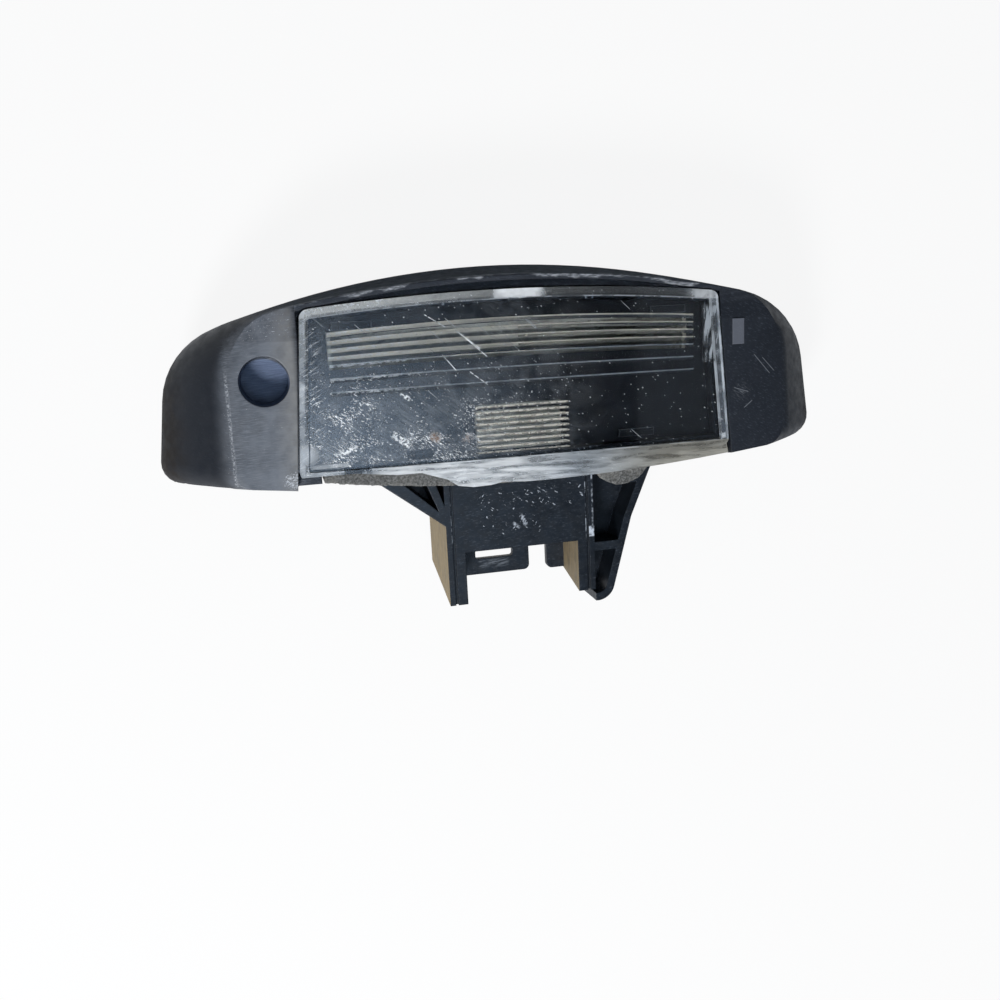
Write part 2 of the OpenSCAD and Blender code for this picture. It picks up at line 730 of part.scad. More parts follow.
module reflector() {
    pocket = fit_gap * 3;
    back_y = mirror_y - mirror_half - mirror_t;
    color([0.86, 0.84, 0.76])
    difference() {
        union() {
            mirror_solid(mirror_t, mirror_len + mirror_t);
            slab(lens_pts(tub_in + tub_wall + fit_gap), mirror_front, mirror_front + flange_t);
        }
        difference() {
            union() {
                mirror_solid(0, mirror_len);
                translate([-mirror_len, mirror_y - mirror_half, mirror_front - eps])
                cube([2 * mirror_len, 2 * mirror_half, flange_t + past]);
            }
            translate([-holder_half - mirror_t, back_y, bridge_z])
            cube([2 * (holder_half + mirror_t), bulb_y + holder_out + mirror_t - back_y, bridge_t]);
        }
        translate([-holder_half - pocket, bulb_y - holder_out - pocket, 0])
        cube([2 * (holder_half + pocket), 2 * (holder_out + pocket), bridge_z]);
    }
}

module tub() {
    difference() {
        slab(lens_pts(tub_in), hood_wall, lens_back);
        slab(lens_pts(tub_in + tub_wall), floor_z, hood_depth);
        slab(lens_pts(tub_in + tub_wall - ledge_w), shield_z, hood_depth);
    }
}

// Saddle that holds both wedge feet between the two contact plates
module bulb_holder() {
    difference() {
        translate([-holder_half, bulb_y - holder_out, floor_z - eps])
        cube([2 * holder_half, 2 * holder_out, bulb_z + holder_roof + roof_t - floor_z]);
        translate([-holder_half - past, bulb_y - holder_in, floor_z])
        cube([2 * (holder_half + past), 2 * holder_in, bulb_z + holder_roof - floor_z]);
        for (side = [-1, 1])
            translate([side * pin_x - strip_w / 2 - fit_gap, bulb_y - holder_out - past, floor_z])
            cube([strip_w + 2 * fit_gap, past + holder_wall + eps, strip_t + fit_gap]);
    }
}

// Feet that carry the reflector above the contact strips
module mirror_feet() {
    for (side = [-1, 1])
        translate([side * mirror_len * mirror_foot_at - mirror_foot_w / 2,
            mirror_y - mirror_foot_l / 2, floor_z - eps])
        cube([mirror_foot_w, mirror_foot_l, mirror_rest + eps]);
}

module leg(side) {
    x = side > 0 ? leg_in : -socket_half;
    translate([x, 0, 0])
    rotate([90, 0, 90])
    linear_extrude(leg_w)
    polygon([[plinth_y + eps, socket_front], [leg_foot, socket_front],
        [leg_foot_back, leg_back], [plinth_y + eps, leg_back]]);
}

// Blind slot up the inside of a leg, open at its foot
module leg_slot(side) {
    translate([side * (socket_half - leg_w / 2) - leg_slot_w / 2, leg_foot - past,
        leg_back + socket_wall])
    cube([leg_slot_w, plinth_y - leg_foot, socket_front - leg_back - 2 * socket_wall]);
}

// Rectangle from corner a to corner b with rounded corners
function round_rect(a, b, r) = concat(
    arc([b.x - r, a.y + r], r, -90, 0, ROUND_N), arc([b.x - r, b.y - r], r, 0, 90, ROUND_N),
    arc([a.x + r, b.y - r], r, 90, 180, ROUND_N), arc([a.x + r, a.y + r], r, 180, 270, ROUND_N));

// Latch arm with its window, and the block beside it
module socket_back_wall() {
    root = plinth_y + socket_wall;
    sill = latch_foot + latch_rim;
    translate([0, 0, socket_back])
    linear_extrude(latch_t)
    difference() {
        union() {
            polygon(round_rect([-leg_in - latch_round, latch_foot], [latch_arm, root], latch_round));
            polygon(round_rect([latch_block, latch_foot - latch_step], [leg_in + latch_round, root], latch_round));
            translate([-leg_in, latch_foot + latch_slot]) square([2 * leg_in, root - latch_foot - latch_slot]);
        }
        polygon(round_rect([latch_win_left, sill], [latch_win_right, sill + latch_win_h],
            latch_round / 2));
    }
}

module socket_shell() {
    difference() {
        union() {
            translate([-socket_half, socket_foot, socket_front - socket_wall])
            cube([2 * socket_half, plinth_y - socket_foot + eps, socket_wall]);
            for (side = [-1, 1]) leg(side);
            socket_back_wall();
        }
        for (side = [-1, 1]) {
            leg_slot(side);
            translate([side * (socket_half - groove_in) - groove / 2, leg_foot - past, socket_front - groove])
            cube([groove, plinth_y - leg_foot + past, groove + past]);
        }
    }
}

// Triangular brace on the left of the socket, sunk behind its rim
module brace() {
    lean = atan2(brace_foot - plinth_y, brace_x - socket_half);
    rim = rim_t / cos(lean);
    translate([0, 0, socket_front - brace_depth])
    difference() {
        linear_extrude(brace_depth)
        polygon([[-brace_x, plinth_y + eps], [-socket_half + eps, brace_foot],
            [-socket_half + eps, plinth_y + eps]]);
        translate([0, 0, web_t])
        linear_extrude(brace_depth)
        difference() {
            polygon([[-brace_x + 2 * rim, plinth_y], [-socket_half, brace_foot + rim],
                [-socket_half, plinth_y]]);
            polygon([[-socket_half - brace_rib_x, plinth_y + past],
                [-socket_half - brace_rib_x + rim_t / 2, plinth_y + past],
                [-socket_half, brace_foot + 2 * rim], [-socket_half, brace_foot],
                [-socket_half - brace_rib_x, plinth_y]]);
        }
    }
}

// Outline of the spring clip on the right, drawn in by g
function clip_pts(g) =
    let (r = tip_r - g,
        start = -acos((socket_half - eps - clip_tip.x) / r),
        rise = clip_bend - clip_tip - [tip_r, 0],
        lean = atan2(clip_x - clip_bend.x, clip_bend_len))
    concat([[socket_half - eps, plinth_y + eps]],
        arc(clip_tip, r, start, atan2(rise.y, rise.x) - 90, CORNER_N),
        [clip_bend - [g, 0], [clip_x - g / cos(lean), plinth_y + eps]]);

module spring_clip() {
    translate([0, 0, socket_front - clip_depth])
    difference() {
        linear_extrude(clip_depth) polygon(clip_pts(0));
        translate([0, 0, web_t])
        linear_extrude(clip_depth)
        difference() {
            polygon(clip_pts(rim_t));
            translate([socket_half - past, crossbar_y - crossbar_t])
            square([clip_x, crossbar_t]);
            translate([clip_x - gusset_w, plinth_y - gusset_h]) square([gusset_w, gusset_h + past]);
        }
    }
}

module pin_slots() {
    for (side = [-1, 1])
        translate([side * pin_x - strip_w / 2, plinth_y - past, pin_low])
        cube([strip_w, tub_in_y - plinth_y + 2 * past, pin_t]);
}

module lamp_base() {
    color([0.15, 0.16, 0.18])
    difference() {
        union() {
            tub();
            translate([-plinth_half, plinth_y, hood_wall])
            cube([2 * plinth_half, tub_y - plinth_y + eps, socket_front - hood_wall]);
            bulb_holder();
            mirror_feet();
            socket_shell();
            brace();
            spring_clip();
        }
        pin_slots();
    }
}

// Lump where the foam is squeezed out over the clip
module foam_lump() {
    low = foam_y - lump_out;
    translate([0, 0, socket_front + foam_gap])
    linear_extrude(lump_t)
    intersection() {
        translate([lump_x, low + lump_r]) circle(r = lump_r);
        translate([lump_x - lump_r, low]) square([2 * lump_r, tub_y - low]);
    }
}

module foam_gasket() {
    color([0.42, 0.42, 0.42])
    difference() {
        union() {
            translate([0, 0, floor_z])
            linear_extrude(foam_front - floor_z)
            intersection() {
                translate([0, foam_y + foam_r]) circle(r = foam_r, $fn = 360);
                translate([-foam_half, foam_y]) square([2 * foam_half, tub_y - foam_y]);
            }
            foam_lump();
        }
        translate([-plinth_half - foam_gap, plinth_y - past, 0])
        cube([2 * (plinth_half + foam_gap), past - plinth_y, socket_front + foam_gap]);
    }
}

// Brass strip: pin in the socket, riser, floor strip and a plate beside both wedge feet
module contact(side, plate_side) {
    x = side * pin_x - strip_w / 2;
    plate_y = bulb_y + plate_side * (plate_gap + strip_t / 2) - strip_t / 2;
    plate_low = floor_z + strip_t + plate_rise;
    color([0.72, 0.58, 0.3])
    union() {
        translate([x, pin_end, pin_low])
        cube([strip_w, riser_y - pin_end + strip_t, pin_t]);
        translate([x, riser_y, floor_z])
        cube([strip_w, strip_t, pin_low + pin_t - floor_z]);
        translate([x, riser_y, floor_z])
        cube([strip_w, plate_y + strip_t - riser_y, strip_t]);
        translate([x, plate_y, floor_z])
        cube([strip_w, strip_t, plate_low - floor_z + eps]);
        translate([-holder_half + plate_in, plate_y, plate_low])
        cube([2 * (holder_half - plate_in), strip_t, bulb_z + wedge_w / 2 - plate_in - plate_low]);
    }
}

module feed_contact() {
    contact(1, 1);
}

module earth_contact() {
    contact(-1, -1);
}

// Places a bulb along X, its wedge foot in the holder
module on_bulb_axis(side) {
    translate([0, bulb_y, bulb_z]) rotate([0, side < 0 ? 180 : 0, 0]) children();
}

// Section of the glass tube with its domed end
function glass_section(g) =
    let (r = bulb_d / 2 - g, long = bulb_len - bulb_d / 2)
    concat([[0, g], [r, g], [r, long]], tail(arc([0, long], r, 0, 90, 10)));

module glass_body(g) {
    translate([wedge_end, 0, 0])
    rotate([0, 90, 0])
    rotate_extrude()
    polygon(glass_section(g));
}

module bulb_glass(side) {
    color([0.85, 0.88, 0.9, 0.35])
    on_bulb_axis(side)
    difference() {
        union() {
            glass_body(0);
            translate([wedge_tip, -wedge_t / 2, -wedge_w / 2])
            cube([wedge_l + glass_t / 2, wedge_t, wedge_w]);
        }
        glass_body(glass_t);
    }
}

module bulb_wires(side) {
    color([0.7, 0.7, 0.72])
    on_bulb_axis(side)
    for (s = [-1, 1]) {
        translate([wedge_end + glass_t, 0, s * wire_span / 2])
        rotate([0, 90, 0])
        cylinder(d = wire_d, h = wire_len, $fn = 16);
        translate([wedge_tip + wire_in, s * (wedge_t / 2 + wire_d / 2 + eps), s * wire_span / 2])
        rotate([0, 90, 0])
        cylinder(d = wire_d, h = wedge_l - 2 * wire_in, $fn = 16);
    }
}

module bulb_filament(side) {
    color([0.4, 0.4, 0.42])
    on_bulb_axis(side)
    translate([wedge_end + glass_t + wire_len + filament_d / 2, 0, -wire_span / 2])
    cylinder(d = filament_d, h = wire_span, $fn = 16);
}

module left_bulb_glass() {
    bulb_glass(-1);
}

module left_bulb_wires() {
    bulb_wires(-1);
}

module left_bulb_filament() {
    bulb_filament(-1);
}

module right_bulb_glass() {
    bulb_glass(1);
}

module right_bulb_wires() {
    bulb_wires(1);
}

module right_bulb_filament() {
    bulb_filament(1);
}

hood();
lens();
light_shield();
reflector();
lamp_base();
foam_gasket();
feed_contact();
earth_contact();
left_bulb_glass();
left_bulb_wires();
left_bulb_filament();
right_bulb_glass();
right_bulb_wires();
right_bulb_filament();
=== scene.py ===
import math

import bmesh
import bpy
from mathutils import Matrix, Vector, noise


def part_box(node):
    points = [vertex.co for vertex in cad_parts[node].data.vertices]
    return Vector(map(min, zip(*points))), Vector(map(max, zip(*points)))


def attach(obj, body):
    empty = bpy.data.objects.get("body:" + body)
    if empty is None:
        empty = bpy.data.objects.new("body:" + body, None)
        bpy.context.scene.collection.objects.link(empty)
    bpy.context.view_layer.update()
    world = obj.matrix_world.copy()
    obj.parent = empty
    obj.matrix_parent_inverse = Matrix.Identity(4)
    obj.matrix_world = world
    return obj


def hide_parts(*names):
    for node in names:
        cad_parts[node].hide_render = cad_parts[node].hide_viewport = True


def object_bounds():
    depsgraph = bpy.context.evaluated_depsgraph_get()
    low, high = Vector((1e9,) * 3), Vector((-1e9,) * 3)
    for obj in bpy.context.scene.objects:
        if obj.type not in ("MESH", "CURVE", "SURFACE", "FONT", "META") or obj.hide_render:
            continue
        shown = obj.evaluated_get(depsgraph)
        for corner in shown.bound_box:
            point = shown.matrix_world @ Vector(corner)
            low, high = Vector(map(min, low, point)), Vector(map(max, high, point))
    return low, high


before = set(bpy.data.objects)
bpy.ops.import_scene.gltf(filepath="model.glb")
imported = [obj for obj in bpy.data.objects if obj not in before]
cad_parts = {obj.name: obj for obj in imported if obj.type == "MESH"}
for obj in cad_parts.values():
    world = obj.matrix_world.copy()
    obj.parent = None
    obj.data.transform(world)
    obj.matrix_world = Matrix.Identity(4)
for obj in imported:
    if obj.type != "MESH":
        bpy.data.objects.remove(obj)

CAD_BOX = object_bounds()
BODY = "root"
MM = 0.001

# Place and turn of the camera, fitted to the lamp's outline in the photograph
CAMERA_AT = (-46.2 * MM, 14.5 * MM, 202.7 * MM)
CAMERA_TURN = (math.radians(-10.70), math.radians(-13.68), math.radians(-2.86))
CAMERA_LENS = 34.56
CAMERA_SENSOR = 36

# Places and levels of the lamp that its finishes follow, in millimetres.
# The port is the small ribbed window of the lens.
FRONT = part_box("lens")[1].z / MM
HOOD_TOP = 20.2
HOOD_ARCH = 1 / 434
HOOD_END = 60.0
CREASE_X = -53.4
RECESS_AT = (-47.1, 2.6)
RECESS_RADIUS = 4.6
PAD_X = (42.8, 45.5)
PAD_Y = (5.0, 10.2)
LENS_TOP = 17.7
LENS_ARCH = 1 / 764
LENS_FOOT = -15.1
LENS_HALF = 40.0
LENS_CORNER_Y = 15.5
LENS_LEAN = 0.0805
FRAME_W = 1.6
FRAME_SOFT = 0.15
PORT_X = (-8.9, 8.9)
PORT_Y = (-12.3, -3.4)
PORT_TOP = -3.6
PORT_PITCH = 1.08
LEG_OUT = 15.2
LEG_IN = 11.6

# Scratches, in millimetres: from one place x, y to another, half their width, and the width of the soft edge
CHEEK_STROKES = (((47.6, 2.9), (51.0, -1.0), 0.02, 0.09), ((49.4, 2.2), (52.0, -0.6), 0.02, 0.08),
                 ((43.3, -3.4), (46.4, -4.4), 0.02, 0.1), ((45.5, -7.5), (47.2, -6.2), 0.02, 0.1))
LENS_STROKES = (((-17.7, 13.8), (-14.0, 11.4), 0.03, 0.1), ((-12.0, 10.6), (-7.6, 7.1), 0.03, 0.1),
                ((-14.8, 6.4), (-12.2, 3.2), 0.03, 0.1), ((-10.0, 8.9), (-6.4, 5.6), 0.03, 0.1),
                ((-9.8, 3.0), (-6.5, 0.4), 0.03, 0.1))
LENS_GOUGES = (((-24.9, -7.4), (-21.8, -9.9), 0.3, 0.7), ((-22.9, -0.2), (-21.2, -1.4), 0.1, 0.5),
               ((-35.4, -10.6), (-31.6, -9.3), 0.1, 0.7))
SOCKET_STROKES = (((-0.1, -25.9), (1.0, -28.2), 0.25, 0.3), ((-1.6, -27.6), (-0.4, -28.6), 0.15, 0.3))

# The hood's shading: least angle between two faces that stays sharp, on the flat front and elsewhere
FLAT_SHARP = math.radians(4)
CURVE_SHARP = math.radians(43)
# A face belongs to the flat front when its direction points up by more than this
FLAT_FACING = 0.97
# Samples of each rounded edge in the shading
BEVEL_SAMPLES = 4
# Corners of a CAD mesh that lie closer than this are joined, in millimetres
WELD = 0.002

# The foam's surface, in millimetres: grain of the remesh, mean draw-in, and height of the grit and the crumbs
FOAM_GRAIN = 0.42
FOAM_DRAW = 0.16
FOAM_GRIT = 0.13
FOAM_CRUMB = 0.09

# The filament coils: number of turns, and radii of coil and wire as shares of the filament's width
COIL_TURNS = 14
COIL_SHARE = 0.36
WIRE_SHARE = 0.12

# The studio, in metres
FLOOR_SIZE = 3.0
FLOOR_GAP = 0.1 * MM
FLOOR_GREY = (0.6, 0.6, 0.6, 1)
# The floor's glow: how far from the lamp it starts and ends to rise to 1, and the share it rises from
GLOW_START = 0.12
GLOW_END = 0.8
GLOW_SHARE = 0.9
KEY_AT = (-0.26, -0.40, 0.42)
KEY_AIM = (0.0, 0.0, 0.02)
KEY_SIZE = 0.14
KEY_POWER = 5.0
PANEL_AT = (-0.09, -0.04, 0.50)
PANEL_SCALE = (0.60, 0.44, 1)
PANEL_LEVEL = 2.5
PANEL_COLOUR = (0.58, 0.76, 1.0, 1)
# The panel's fades: axis, the place where it is dark, and the place from which it is bright, in panel widths
PANEL_FADES = ((0, 0.45, 0.05), (0, -0.46, -0.10), (1, 0.20, -0.07), (1, -0.48, -0.3))
WORLD_COLOUR = (0.78, 0.88, 1.0, 1)
WORLD_LEVEL = 0.17


class Finish:
    """A procedural material on one Principled shader. Places are in millimetres of the lamp's own frame."""

    def __init__(self, name):
        self.mat = bpy.data.materials.new(name)
        self.mat.use_nodes = True
        self.tree = self.mat.node_tree
        self.shader = self.tree.nodes["Principled BSDF"]
        where = self.tree.nodes.new("ShaderNodeTexCoord")
        scaled = self.tree.nodes.new("ShaderNodeVectorMath")
        scaled.operation = "SCALE"
        scaled.inputs["Scale"].default_value = 1 / MM
        self.tree.links.new(where.outputs["Object"], scaled.inputs[0])
        self.at = scaled.outputs[0]
        self.x, self.y, self.z = self.split(self.at)
        self.facing_x, self.facing_y, self.facing_z = self.split(where.outputs["Normal"])

    def split(self, vector):
        node = self.tree.nodes.new("ShaderNodeSeparateXYZ")
        self.tree.links.new(vector, node.inputs[0])
        return node.outputs

    def put(self, value, socket):
        """Links an output to an input socket, or sets a constant on it."""
        if isinstance(value, bpy.types.NodeSocket):
            self.tree.links.new(value, socket)
        elif isinstance(value, tuple) and len(value) == 3 and socket.type == "RGBA":
            socket.default_value = (*value, 1)
        else:
            socket.default_value = value

    def set(self, **values):
        """Sets shader inputs by name, with underscores for spaces."""
        for key, value in values.items():
            self.put(value, self.shader.inputs[key.replace("_", " ")])

    def math(self, operation, a, b=0.0):
        node = self.tree.nodes.new("ShaderNodeMath")
        node.operation = operation
        self.put(a, node.inputs[0])
        self.put(b, node.inputs[1])
        return node.outputs[0]

    def add(self, a, b):
        return self.math("ADD", a, b)

    def sub(self, a, b):
        return self.math("SUBTRACT", a, b)

    def times(self, a, *more):
        for b in more:
            a = self.math("MULTIPLY", a, b)
        return a

    def most(self, a, *more):
        for b in more:
            a = self.math("MAXIMUM", a, b)
        return a

    def rise(self, value, low, high, start=0.0, end=1.0):
        """Smooth step of a value from start at low to end at high; low may lie above high."""
        if low > high:
            low, high, start, end = high, low, end, start
        node = self.tree.nodes.new("ShaderNodeMapRange")
        node.interpolation_type = "SMOOTHSTEP"
        self.put(value, node.inputs["Value"])
        node.inputs["From Min"].default_value = low
        node.inputs["From Max"].default_value = high
        node.inputs["To Min"].default_value = start
        node.inputs["To Max"].default_value = end
        return node.outputs["Result"]

    def near(self, value, centre, half, soft):
        """1 within half of the centre, falling to 0 over the soft distance."""
        gap = self.math("ABSOLUTE", self.sub(value, centre))
        return self.rise(gap, half, half + soft, 1.0, 0.0)

    def box(self, x, y, soft):
        """1 inside the rectangle x=(low, high), y=(low, high)."""
        across = self.near(self.x, (x[0] + x[1]) / 2, (x[1] - x[0]) / 2, soft)
        up = self.near(self.y, (y[0] + y[1]) / 2, (y[1] - y[0]) / 2, soft)
        return self.times(across, up)

    def spot(self, x, y, radius, soft):
        """1 round the point x, y."""
        dx = self.sub(self.x, x)
        dy = self.sub(self.y, y)
        away = self.math("SQRT", self.add(self.times(dx, dx), self.times(dy, dy)))
        return self.rise(away, radius, radius + soft, 1.0, 0.0)

    def stroke(self, a, b, half, soft):
        """1 along the straight scratch from point a to point b."""
        length = math.hypot(b[0] - a[0], b[1] - a[1])
        ux, uy = (b[0] - a[0]) / length, (b[1] - a[1]) / length
        dx = self.sub(self.x, (a[0] + b[0]) / 2)
        dy = self.sub(self.y, (a[1] + b[1]) / 2)
        along = self.add(self.times(dx, ux), self.times(dy, uy))
        across = self.sub(self.times(dy, ux), self.times(dx, uy))
        within = self.near(along, 0.0, length / 2 - soft, 2 * soft)
        return self.times(within, self.near(across, 0.0, half, soft))

    def strokes(self, lines):
        """1 along any of several strokes."""
        return self.most(*(self.stroke(*line) for line in lines))

    def turned(self, angle, length, width, depth=1.0):
        """Position in a frame turned about Z by an angle in degrees, in units of length, width and depth."""
        node = self.tree.nodes.new("ShaderNodeMapping")
        node.vector_type = "TEXTURE"
        self.tree.links.new(self.at, node.inputs["Vector"])
        node.inputs["Rotation"].default_value = (0, 0, math.radians(angle))
        node.inputs["Scale"].default_value = (length, width, depth)
        return node.outputs["Vector"]

    def cloud(self, size, detail=4.0, rough=0.55, at=None):
        """Soft noise with features of about this size in millimetres."""
        node = self.tree.nodes.new("ShaderNodeTexNoise")
        self.put(at if at is not None else self.at, node.inputs["Vector"])
        node.inputs["Scale"].default_value = 1 / size
        node.inputs["Detail"].default_value = detail
        node.inputs["Roughness"].default_value = rough
        return node.outputs[0]

    def grain(self, angle, length, width):
        """Fine brushed lines in one direction."""
        return self.cloud(1.0, detail=3.0, rough=0.7, at=self.turned(angle, length, width))

    def dashes(self, angle, length, width, share, depth=40.0):
        """Separate chips or short scratches. The share of places that hold one may vary over the surface."""
        cell = self.tree.nodes.new("ShaderNodeTexVoronoi")
        cell.inputs["Scale"].default_value = 1.0
        self.put(self.turned(angle, length, width, depth), cell.inputs["Vector"])
        shape = self.rise(cell.outputs["Distance"], 0.22, 0.34, 1.0, 0.0)
        pick, size, _ = self.split(cell.outputs["Color"])
        chosen = self.math("LESS_THAN", pick, share)
        return self.times(shape, chosen, self.rise(size, 0.0, 1.0, 0.35, 1.0))

    def flakes(self, angle, length, width, level):
        """Irregular chips where a fine noise passes a level of about 0.6 (many) to 0.75 (few)."""
        fine = self.cloud(1.0, detail=2.5, rough=0.6, at=self.turned(angle, length, width))
        return self.rise(self.sub(fine, level), 0.0, 0.035)

    def mix(self, share, a, b):
        """Colour a, turning to colour b by a share."""
        node = self.tree.nodes.new("ShaderNodeMix")
        node.data_type = "RGBA"
        self.put(share, node.inputs[0])
        self.put(a, node.inputs[6])
        self.put(b, node.inputs[7])
        return node.outputs[2]

    def bevel(self, radius):
        """The surface's direction with sharp edges rounded to a radius."""
        node = self.tree.nodes.new("ShaderNodeBevel")
        node.samples = BEVEL_SAMPLES
        node.inputs["Radius"].default_value = radius * MM
        return node.outputs["Normal"]

    def rounded(self, radius):
        """Softens sharp edges in the shading."""
        self.tree.links.new(self.bevel(radius), self.shader.inputs["Normal"])

    def edges(self, radius):
        """1 along sharp edges, within about this radius."""
        x, y, z = self.split(self.bevel(radius))
        flat = self.add(self.times(x, self.facing_x), self.times(y, self.facing_y))
        return self.rise(self.add(flat, self.times(z, self.facing_z)), 0.995, 0.93)

    def bump(self, height, strength, distance):
        node = self.tree.nodes.new("ShaderNodeBump")
        node.inputs["Strength"].default_value = strength
        node.inputs["Distance"].default_value = distance * MM
        self.put(height, node.inputs["Height"])
        target = self.shader.inputs["Normal"]
        if target.is_linked:
            self.tree.links.new(target.links[0].from_socket, node.inputs["Normal"])
        self.tree.links.new(node.outputs["Normal"], target)


# Colours that the finishes turn to
BLACK = (0.0090, 0.0110, 0.0155)
# Painted sheen on the upward-tilted bevel at the upper left
BEVEL_SHEEN = (0.16, 0.17, 0.19)
WORN_LINE = (0.34, 0.355, 0.38)
CHIP = (0.42, 0.44, 0.47)
# Painted sheen, with some dust, on the left cheek: bluish away from the lens, warmer beside it
CHEEK_DUST_AND_SHEEN = (0.175, 0.19, 0.215)
WARM_DUST_AND_SHEEN = (0.235, 0.23, 0.22)
BRUSHED = (0.17, 0.18, 0.20)
RUBBED = (0.12, 0.14, 0.175)
# Painted shade at the hood's far left and right, brown as a painted reflection of the table
END_SHADE_BROWN = (0.008, 0.005, 0.003)
BAND_DUST = (0.085, 0.09, 0.105)
# Painted reflection on the recess floor, blue-grey
RECESS_SHEEN_DARK = (0.078, 0.102, 0.165)
RECESS_SHEEN_LIGHT = (0.15, 0.19, 0.28)
PAD_GREY = (0.16, 0.17, 0.20)
CLEAR = (0.90, 0.94, 0.98)
# Colour of the window's hazy marks and of its painted sheen
HAZE_AND_SHEEN = (0.46, 0.50, 0.54)
WHITE_WEAR = (0.92, 0.94, 0.95)
TAN_DUST = (0.37, 0.34, 0.27)
# Cream of the painted light between the ribs and on the port
RIB_LIGHT_CREAM = (0.84, 0.80, 0.71)
GLINT = (0.9, 0.9, 0.9)
RUST = (0.20, 0.11, 0.06)
BASE_BLACK = (0.0042, 0.0062, 0.0095)
BASE_BLUE = (0.0075, 0.0110, 0.0165)
BASE_RUBBED = (0.14, 0.16, 0.19)
# Painted reflection of the table on the legs' left-facing faces
LEG_TABLE_REFLECTION = (0.36, 0.275, 0.155)
# Pale flecks and scuffs of the socket, and its painted highlight lines
BASE_WEAR_AND_HIGHLIGHT = (0.48, 0.52, 0.58)
SHIELD_BLACK = (0.005, 0.006, 0.008)
SHIELD_GREY = (0.011, 0.012, 0.016)
# Painted highlight on the shield's sharp edges
SHIELD_EDGE_HIGHLIGHT = (0.3, 0.31, 0.33)
CREAM = (0.82, 0.79, 0.70)
# The cream's darker tone
CREAM_DARK = (0.34, 0.31, 0.25)
CREAM_SPOT = (0.26, 0.20, 0.13)
FOAM_DARK = (0.055, 0.055, 0.053)
FOAM_LIGHT = (0.20, 0.20, 0.195)
FOAM_TAN = (0.22, 0.21, 0.19)
BRASS = (0.62, 0.46, 0.22)
BRASS_DULL = (0.32, 0.24, 0.13)
BULB_CLEAR = (0.95, 0.97, 0.98)
STEEL = (0.5, 0.5, 0.5)
STEEL_DARK = (0.28, 0.27, 0.26)


def hood_dust_and_sheen(f):
    """Painted sheen, with some dust, on the left cheek, lightest beside the lens."""
    cheek = f.times(f.rise(f.x, -40.5, -42.0), f.rise(f.x, CREASE_X - 5.0, CREASE_X + 1.0))
    level = f.rise(f.z, FRONT - 2.5, FRONT - 0.4)
    beside_lens = f.rise(f.x, -56.0, -41.0, 0.45, 1.0)
    return f.times(cheek, level, beside_lens, f.rise(f.cloud(3.0, detail=6.0), 0.3, 0.7, 0.6, 1.0))


def hood_lines(f, front):
    """Rubbed ridge over the lens, and the crease between the left cheek and its shoulder."""
    fine = f.rise(f.cloud(0.4, detail=5.0, rough=0.7), 0.44, 0.62)
    crease = f.times(f.near(f.x, CREASE_X, 0.05, 0.4), front, fine, f.rise(f.y, 7.0, 3.0), 0.8)
    arch = f.sub(f.y, f.sub(HOOD_TOP, f.times(f.x, f.x, HOOD_ARCH)))
    wave = f.rise(f.cloud(9.0, detail=4.0), 0.3, 0.7, -0.8, 0.8)
    rubbed = f.rise(f.grain(0.0, 1.6, 0.3), 0.40, 0.62, 0.15, 1.0)
    ridge = f.times(f.near(f.add(arch, wave), 0.1, 0.15, 0.4), f.rise(f.z, FRONT - 1.6, FRONT - 0.9), rubbed,
                    f.rise(f.x, 44.0, 34.0))
    return f.most(ridge, crease)


def hood_chips(f, bevel, front):
    """Chips, most at the upper bevel and the lower corner, and strokes and scuffs on the right cheek."""
    corner = f.spot(-43.3, -14.5, 0.8, 2.2)
    left = f.rise(f.x, -42.0, -46.0)
    level = f.sub(0.76, f.most(f.times(bevel, 0.09), f.times(corner, 0.24), f.times(left, 0.035)))
    chips = f.most(f.flakes(12.0, 0.7, 0.16, level), f.flakes(70.0, 0.35, 0.2, f.add(level, 0.01)))
    scuffs = f.times(f.spot(44.8, -4.2, 0.6, 2.0), f.rise(f.grain(-35.0, 1.6, 0.16), 0.52, 0.66))
    marks = f.most(chips, f.times(f.strokes(CHEEK_STROKES), 0.3), f.times(scuffs, 0.25))
    return f.times(marks, front, f.rise(f.facing_z, 0.5, 0.8))


def hood_wear(f):
    """Shares of the painted sheen on the bevel at the upper left, of the worn lines, and of the chips."""
    front = f.rise(f.z, FRONT - 1.4, FRONT - 0.5)
    # The bevel at the upper left, which takes a painted sheen broken up like wear
    bevel = f.times(f.rise(f.y, 10.0, 11.0), f.rise(f.x, -40.0, -42.0), f.rise(f.x, -57.0, -50.0),
                    f.rise(f.z, FRONT - 4, FRONT - 1))
    broken = f.rise(f.cloud(0.9, detail=5.0, rough=0.7), 0.42, 0.6)
    return f.times(bevel, broken, 0.4), hood_lines(f, front), hood_chips(f, bevel, front)


